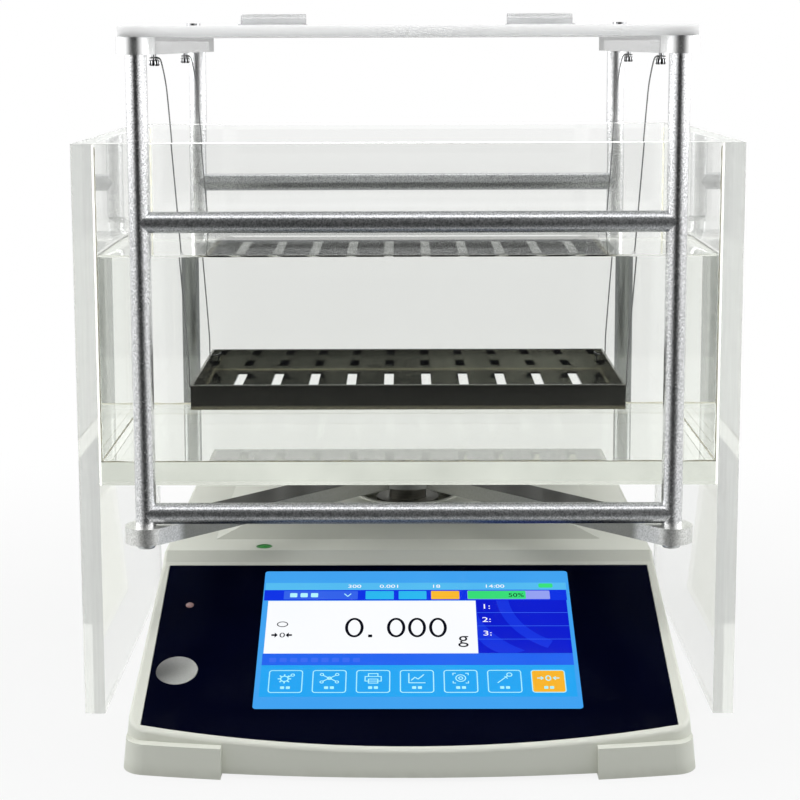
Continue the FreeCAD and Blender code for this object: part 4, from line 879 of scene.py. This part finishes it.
HUB_SCREW_CIRCLE = 0.006
low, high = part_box("hub_screws")
turns = [math.radians(90 + 120 * n) for n in range(3)]
places = [((HUB_SCREW_CIRCLE * math.cos(t), HUB.y + HUB_SCREW_CIRCLE * math.sin(t), HUB.z), (0, 0, 1))
          for t in turns]
grow("hub_cap_screws", socket_screw, places, SCREW_SIZES | {
    "Head Radius": 0.00275, "Head Height": high.z - HUB.z, "Socket Radius": 0.0014,
    "Shank Radius": 0.0015, "Shank Length": HUB.z - low.z, "Pitch": 0.0005, "Ridge": 0.0002},
     zinc_plate, "weighing_frame", ["hub_screws"])


# ---- posts, cross bars and side bars -----------------------------------------------------
# Round aluminium rod, bead-blasted and anodised: four posts, and four cross bars coped to fit
# them. Flat bars with a rounded front end lie on the posts. Socket screws hold each joint.

def rod_finish(name, stretch, dull, bright, roughness):
    """Blasted and anodised rod with fine streaks along it, painted darker as shade when seen through the
    whole bath.
    """
    def build(place):
        streak = place.stretch(*stretch).noise(700, 2)
        speck = place.noise(1250, 3)
        tone = streak * 0.25 + speck.rise(0.32, 0.68) * 0.75
        # Painted shade: seen through the whole bath, the rod is painted dark grey-green.
        bath_shade = place.path("Transmission Depth").rise(4.5, 5.5)
        return {"Base Color": (bath_shade * 0.7).tint(tone.tint(dull, bright), "#3a423e"),
                "Metallic": 1.0, "Roughness": roughness + 0.1 * speck,
                "Normal": tone.relief(0.00002, 0.3)}
    return finish(build, name)


upright_rod = rod_finish("upright_rod", (1, 1, 5), "#bfc0c2", "#fefeff", 0.2)
cross_rod = rod_finish("cross_rod", (5, 1, 1), "#86888a", "#d6d7d9", 0.3)
BARS = [f"{end}_{level}_bar" for end in ("front", "rear") for level in ("lower", "upper")]
dress(upright_rod, *[f"post_{corner}" for corner in CORNERS])
dress(cross_rod, *BARS)


@finish
def flat_bar_satin(place):
    lay = place.stretch(12, 1, 12).noise(240, 2)
    return {"Base Color": lay.tint("#dcdddd", "#f2f2f2"), "Metallic": 0.9,
            "Roughness": 0.2 + 0.1 * lay, "Normal": lay.relief(0.00001, 0.4)}


dress(flat_bar_satin, "side_bar_left", "side_bar_right")

ROD_RADIUS, BAR_SCREW_SEAT = 0.005, 0.0035
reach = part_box("post_front_right")[1].x - ROD_RADIUS + BAR_SCREW_SEAT
places = []
for bar in BARS:
    low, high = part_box(bar)
    centre = (low + high) / 2
    places += [((side * reach, centre.y, centre.z), (side, 0, 0)) for side in (-1, 1)]
grow("bar_socket_screws", socket_screw, places, SCREW_SIZES | {
    "Head Radius": 0.0025, "Head Height": 0.001, "Socket Radius": 0.0012, "Socket Depth": 0.0007,
    "Shank Radius": 0.0015, "Shank Length": 0.0145, "Pitch": 0.0005, "Ridge": 0.0002},
     zinc_plate, "weighing_frame", ["bar_screws"])

places = []
plate_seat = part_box("side_bar_left")[1].z
for corner in CORNERS:
    low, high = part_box(f"post_{corner}")
    centre = (low + high) / 2
    places.append(((centre.x, centre.y, spider_low.z), (0, 0, -1)))
    places.append(((centre.x, centre.y, plate_seat - SCREW_SIZES["Head Height"]), (0, 0, 1)))
grow("post_socket_screws", socket_screw, places, SCREW_SIZES | {"Shank Length": 0.0115}, zinc_plate,
     "weighing_frame", ["post_screws"])


# ---- hook screws, suspension wires and basket --------------------------------------------
# Bright screws with knurled heads hold four stranded steel wires, each coiled round a screw's
# neck and passed through the basket's wall. The basket is folded from dark polished stainless
# sheet, with ten slots in its floor.

@finish
def stranded_wire(place):
    lay = (place.axis(2) * 5200 + place.axis(0) * 2600).through("SINE")
    return {"Base Color": lay.rise(-1, 1).tint("#5b5c5d", "#9a9b9b"), "Metallic": 1.0,
            "Roughness": 0.3 + 0.08 * lay, "Normal": lay.relief(0.00008, 0.7)}


SHEET, SLOT_PITCH, MIRROR_SPREAD = 0.0012, 0.02, 8.6
basket_low, basket_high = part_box("basket")
BASKET_MIDDLE, BASKET_REACH = (basket_low + basket_high) / 2, (basket_high - basket_low) / 2
FLOOR_TOP, RIM_TOP = basket_low.z + SHEET, basket_high.z


def on_plane(distance):
    """1 on a face at no distance, and 0 off it."""
    return 1 - distance.size().rise(0.0001, 0.0003)


@finish
def basket_steel(place):
    lay = place.stretch(1, 9, 9).noise(180, 3)
    spots = place.noise(260, 2).rise(0.72, 0.8)
    height = place.axis(2) - FLOOR_TOP
    # A painted highlight along the top rim.
    rim_highlight = place.axis(2).rise(RIM_TOP - 0.0006, RIM_TOP - 0.0002)
    inset_x = place.axis(0).size() - BASKET_REACH.x
    inset_y = (place.axis(1) - BASKET_MIDDLE.y).size() - BASKET_REACH.y
    # A painted highlight along the folds at the foot of the walls.
    fold_highlight = inset_x.over(inset_y).rise(-0.0028, -0.0014) * height.rise(0.0012, -0.0002)
    # Painted reflection: the rear wall's inner face is painted with a pale sheen and with the floor's slots
    # as dark mirrored patches in rows.
    rear_side = place.axis(1).rise(BASKET_MIDDLE.y, BASKET_MIDDLE.y + 0.001)
    ripple = place.axis(0) * (1 + height * MIRROR_SPREAD) * (2 * math.pi / SLOT_PITCH)
    patch = (0 - ripple.through("COSINE")).rise(0.64, 0.76)
    near_row = height.rise(0.0018, 0.0023) * height.rise(0.0054, 0.0049)
    mirrored_slots = patch * near_row.over(height.rise(0.0079, 0.0084))
    skin = lay.tint("#3a3a37", "#494944")
    # Painted light: the outer faces of the front and rear walls are painted lighter than the other faces.
    skin = on_plane(inset_y).tint(skin, lay.tint("#53534f", "#62625c"))
    sheen = place.noise(22, 2).rise(0.3, 0.7).tint("#74766b", "#a6a898")
    skin = (on_plane(inset_y + SHEET) * rear_side).tint(skin, mirrored_slots.tint(sheen, "#1b1d1e"))
    # Painted shade: the floor's top face is painted darker than the walls.
    skin = on_plane(height).tint(skin, lay.tint("#1f201e", "#2a2b29"))
    skin = (spots * 0.5).tint(skin, "#6c6c64")
    skin = (fold_highlight * 0.85).tint(skin, "#c4c0a4")
    return {"Base Color": rim_highlight.tint(skin, "#c9c9c0"), "Metallic": 0.85,
            "Specular Tint": (0.3, 0.3, 0.3, 1), "Roughness": 0.05 + 0.06 * lay,
            "Normal": lay.relief(0.00001, 0.3)}


dress(basket_steel, "basket")

HOOK_SIZES = {"Head Radius": 0.00275, "Head Height": 0.003, "Knurls": 10, "Knurl Depth": 0.0004,
              "Neck Radius": 0.0015, "Neck Length": 0.003, "Thread Length": 0.007, "Pitch": 0.0005,
              "Ridge": 0.00015}
start, given = growth("knurled_hook_screw", HOOK_SIZES)
head = knurled_disc(start, given["Knurls"], given["Head Radius"], given["Head Height"],
                    given["Knurl Depth"], 1.4)
neck = lifted(cylinder(start, 24, given["Neck Radius"], given["Neck Length"]), given["Neck Length"] * -0.5)
thread = ridged_bar(start, given["Neck Radius"], given["Thread Length"],
                    0 - given["Neck Length"] - given["Thread Length"], given["Pitch"], given["Ridge"])
close_growth(start, joined(head, neck, thread), given)
low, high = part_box("wire_hook_screws")
reach_x, reach_y = high.x - HOOK_SIZES["Head Radius"], (high.y - low.y) / 2 - HOOK_SIZES["Head Radius"]
middle_y = (low.y + high.y) / 2
neck_under = low.z + HOOK_SIZES["Head Height"]
places = [((x * reach_x, middle_y + y * reach_y, neck_under), (0, 0, -1)) for x in (-1, 1) for y in (-1, 1)]


@finish
def knurled_steel(place):
    wear = place.noise(900)
    across = place.axis(0).size() - reach_x
    along = (place.axis(1) - middle_y).size() - reach_y
    around = across.math("ARCTAN2", along, across) * HOOK_SIZES["Knurls"]
    # Painted highlights and shade: round its axis the screw is painted near white on the knurl ridges and
    # near black in their grooves.
    knurl_light_and_shade = around.through("COSINE").rise(0.5, 0.0)
    return {"Base Color": knurl_light_and_shade.tint("#f6f7f9", "#070708"), "Metallic": 1.0,
            "Roughness": 0.08 + 0.08 * wear}


grow("knurled_hook_screws", start.tree, places, HOOK_SIZES, knurled_steel, "weighing_frame",
     ["wire_hook_screws"])

WIRE_RADIUS, COIL_RADIUS, COIL_GAP, COIL_RISE = 0.00035, 0.00214, 0.00065, 0.0001
# A wire's way runs from its screw's neck: so far towards the basket's wall, along it, and up.
for corner in CORNERS:
    low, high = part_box(f"wire_{corner}")
    side = 1 if corner.endswith("left") else -1
    neck = Vector((-side * reach_x, (low.y + high.y) / 2, neck_under + COIL_GAP))
    wall = reach_x - basket_high.x
    drop = neck.z - low.z - WIRE_RADIUS
    turns = [math.radians(45 * n) for n in range(-1, 7)]
    coil = [(COIL_RADIUS * math.cos(t), COIL_RADIUS * math.sin(t), -0.00022 + COIL_RISE * n)
            for n, t in enumerate(turns)]
    bend = [(0.0032, -0.0021, 0.0006), (0.0042, -0.0012, -0.0036), (0.0053, -0.0004, -0.01)]
    run = [(0.36 * wall, 0, -0.1 * drop), (0.5 * wall, 0, -0.3 * drop), (wall - 0.001, 0, -0.93 * drop),
           (wall - 0.001, 0, 0.004 - drop)]
    tail = [(wall + x, y, z - drop) for x, y, z in (
        (-0.001, 0, 0), (0.001, 0, 0), (0.0034, 0, 0), (0.0052, 0.0006, 0.0014),
        (0.0048, 0.0026, 0.0004), (0.003, 0.0032, -0.0022), (0.0036, 0.005, -0.0042))]
    route = coil + bend + run + tail
    name = f"hung_wire_{corner}"
    curve = bpy.data.curves.new(name, "CURVE")
    curve.dimensions = "3D"
    curve.resolution_u = 8
    curve.bevel_depth = WIRE_RADIUS
    curve.bevel_resolution = 3
    curve.use_fill_caps = True
    path = curve.splines.new("NURBS")
    path.points.add(len(route) - 1)
    for point, (x, y, z) in zip(path.points, route):
        point.co = (neck.x + side * x, neck.y + y, neck.z + z, 1)
    path.order_u = 3
    path.use_endpoint_u = True
    holder = bpy.data.objects.new(name, curve)
    bpy.context.scene.collection.objects.link(holder)
    drawn = holder.evaluated_get(bpy.context.evaluated_depsgraph_get())
    mesh = bpy.data.meshes.new_from_object(drawn)
    mesh.name = name
    bpy.data.objects.remove(holder)
    settle(name, mesh, f"wire_{corner}", stranded_wire, [f"wire_{corner}"], 60)


# ---- water tank --------------------------------------------------------------------------
# Five polished sheets of clear acrylic, cemented edge to edge. Two long side walls stand on the
# bench. The cement has yellowed a little along the joints, and the water lies 100 mm deep.

def clear_body(place, skin, index, matt=None):
    """A clear body that lets lamp light through and glows with painted light where a ray has bounced many
    times inside it.
    """
    # Painted light: after many bounces, or several reflections, the body glows pale grey.
    painted_glow = (place.path("Ray Depth") - 11.5).over(place.path("Glossy Depth") - 3.5).rise(0, 0.4)
    body = place.node("ShaderNodeBsdfPrincipled", inputs={
        "Base Color": skin, "IOR": index, "Roughness": 0.0, "Transmission Weight": 1.0,
        "Emission Color": painted_glow.tint("#000000", "#c4c5c1"), "Emission Strength": 1.0})
    if matt:
        satin = place.node("ShaderNodeBsdfPrincipled", inputs={"Base Color": "#dcdedb", "Roughness": 0.5})
        body = place.node("ShaderNodeMixShader", inputs={0: matt, 1: body, 2: satin})
    gap = place.node("ShaderNodeBsdfTransparent", inputs={"Color": (0.99, 0.99, 0.99, 1)})
    return place.node("ShaderNodeMixShader", inputs={0: place.path("Is Shadow Ray"), 1: body, 2: gap})


low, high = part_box("tank_left_wall")
TANK_MIDDLE, TANK_REACH, TANK_TOP = (low + high) / 2, (high - low) / 2, high.z


def sheet_finish(name, sawn_ends=False, depth=0.0):
    """Clear acrylic sheet with satin sawn edges along its top and, on the side walls, its ends."""
    def build(place):
        haze = place.noise(24, 3)
        saw = place.stretch(900, 900, 30).noise(1, 2)
        sawn = place.axis(2).rise(TANK_TOP - 0.0002, TANK_TOP - 0.0001)
        if sawn_ends:
            reach = (place.axis(1) - TANK_MIDDLE.y).size()
            sawn = sawn.over(reach.rise(TANK_REACH.y - 0.0002, TANK_REACH.y - 0.0001))
        skin = haze.tint((0.95 - depth, 0.955 - depth, 0.945 - depth, 1), (0.968, 0.972, 0.964, 1))
        return clear_body(place, skin, 1.49, sawn * (0.42 + 0.12 * saw))
    return finish(build, name)


@finish
def bath_water(place):
    haze = place.noise(18, 2)
    return clear_body(place, haze.tint((0.962, 0.97, 0.958, 1), (0.975, 0.982, 0.972, 1)), 1.333)


dress(sheet_finish("clear_sheet"), "tank_front_wall", "tank_rear_wall")
dress(sheet_finish("clear_side_sheet", True), "tank_left_wall", "tank_right_wall")
dress(sheet_finish("clear_floor_sheet", depth=0.12), "tank_floor")


@finish
def old_cement(place):
    lump = place.noise(240, 4)
    return {"Base Color": lump.tint("#dedabd", "#f4f3ea"), "Roughness": 0.3 + 0.3 * lump,
            "Transmission Weight": 0.35, "IOR": 1.4, "Normal": lump.relief(0.0003, 0.5)}


CEMENT_SIZE, CEMENT_STEPS, CEMENT_BITE, RIM_GAP = 0.0008, 40, 0.00003, 0.002
floor_low, floor_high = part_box("tank_floor")
left, right, front, rear, seam = floor_low.x, floor_high.x, floor_low.y, floor_high.y, floor_high.z
runs = [((left, front, seam), (right, front, seam), (0, 1, 0), (0, 0, 1)),
        ((left, rear, seam), (right, rear, seam), (0, -1, 0), (0, 0, 1)),
        ((left, front, seam), (left, rear, seam), (1, 0, 0), (0, 0, 1)),
        ((right, front, seam), (right, rear, seam), (-1, 0, 0), (0, 0, 1))]
runs += [((x, y, seam), (x, y, TANK_TOP - RIM_GAP), (a, 0, 0), (0, b, 0))
         for x, y, a, b in ((left, front, 1, 1), (right, front, -1, 1), (left, rear, 1, -1),
                            (right, rear, -1, -1))]
# Each run of cement is three-sided: from its start to its end, in the corner between two walls.
form = bmesh.new()
for start, end, inward, upward in runs:
    start, end, inward, upward = Vector(start), Vector(end), Vector(inward), Vector(upward)
    rings = []
    for step in range(CEMENT_STEPS + 1):
        spot = start.lerp(end, step / CEMENT_STEPS) - (inward + upward) * CEMENT_BITE
        full = CEMENT_SIZE * (0.75 + 0.35 * math.sin(step * 2.3) * math.sin(step * 0.7 + start.x * 40))
        rings.append([form.verts.new(spot + reach) for reach in (Vector(), inward * full, upward * full)])
    for lower, upper in zip(rings, rings[1:]):
        for n in range(3):
            form.faces.new((lower[n], lower[(n + 1) % 3], upper[(n + 1) % 3], upper[n]))
    form.faces.new(rings[0])
    form.faces.new(rings[-1])
settle("cement_seams", form, "base", old_cement, crease=60)

WATER_DEPTH, MENISCUS, MENISCUS_REACH, WALL_BITE = 0.100, 0.0016, 0.0018, 0.00005
form = bmesh.new()
columns, rows = 60, 40
bite = Vector((WALL_BITE, WALL_BITE, WALL_BITE))
bath_low = Vector((left, front, seam)) - bite
bath_high = Vector((right + WALL_BITE, rear + WALL_BITE, seam + WATER_DEPTH))


def spaced(low, high, count):
    """Places from wall to wall, closer together near both walls."""
    return [low + (high - low) * (0.5 - 0.5 * math.cos(math.pi * n / count)) for n in range(count + 1)]


surface = []
for y in spaced(bath_low.y, bath_high.y, rows):
    surface.append([])
    for x in spaced(bath_low.x, bath_high.x, columns):
        wall = min(x - bath_low.x, bath_high.x - x, y - bath_low.y, bath_high.y - y)
        top = bath_high.z + MENISCUS * math.exp(-wall / MENISCUS_REACH)
        surface[-1].append(form.verts.new((x, y, top)))
for upper, lower in zip(surface, surface[1:]):
    for n in range(columns):
        form.faces.new((upper[n], upper[n + 1], lower[n + 1], lower[n]))
rim = (surface[0] + [row[-1] for row in surface[1:]] + surface[-1][-2::-1]
       + [row[0] for row in surface[-2:0:-1]])
floor_ring = [form.verts.new((v.co.x, v.co.y, bath_low.z)) for v in rim]
for n in range(len(rim)):
    m = (n + 1) % len(rim)
    form.faces.new((rim[n], rim[m], floor_ring[m], floor_ring[n]))
form.faces.new(floor_ring)
settle("bath_water", form, "base", bath_water)


# ---- top plate and hinges ----------------------------------------------------------------
# The dry pan is white opal acrylic in two pieces: a rear strip, held by two bright screws, and a
# lid that opens on two clear plastic hinges.

@finish
def opal_acrylic(place):
    cloud = place.noise(12, 2)
    scuff = place.noise(420, 3)
    return {"Base Color": cloud.tint("#eaebeb", "#f1f1f1"), "Roughness": 0.14 + 0.12 * scuff,
            "Subsurface Weight": 1.0, "Subsurface Scale": 0.03, "Subsurface Radius": (1.0, 1.0, 1.0)}


@finish
def clear_hinge(place):
    haze = place.noise(300)
    return {"Base Color": haze.tint("#f6f7f8", "#fefefe"), "Roughness": 0.05 + 0.06 * haze,
            "Transmission Weight": 0.85, "IOR": 1.2}


@finish
def polished_head(place):
    wear = place.noise(700)
    return {"Base Color": wear.tint("#8f9092", "#b4b5b6"), "Metallic": 1.0,
            "Roughness": 0.14 + 0.1 * wear}


dress(opal_acrylic, "rear_plate", "lid_plate")
dress(clear_hinge, "fixed_hinge_leaves", "lid_hinge_leaves", "hinge_pins")
dress(polished_head, "rear_plate_screws")
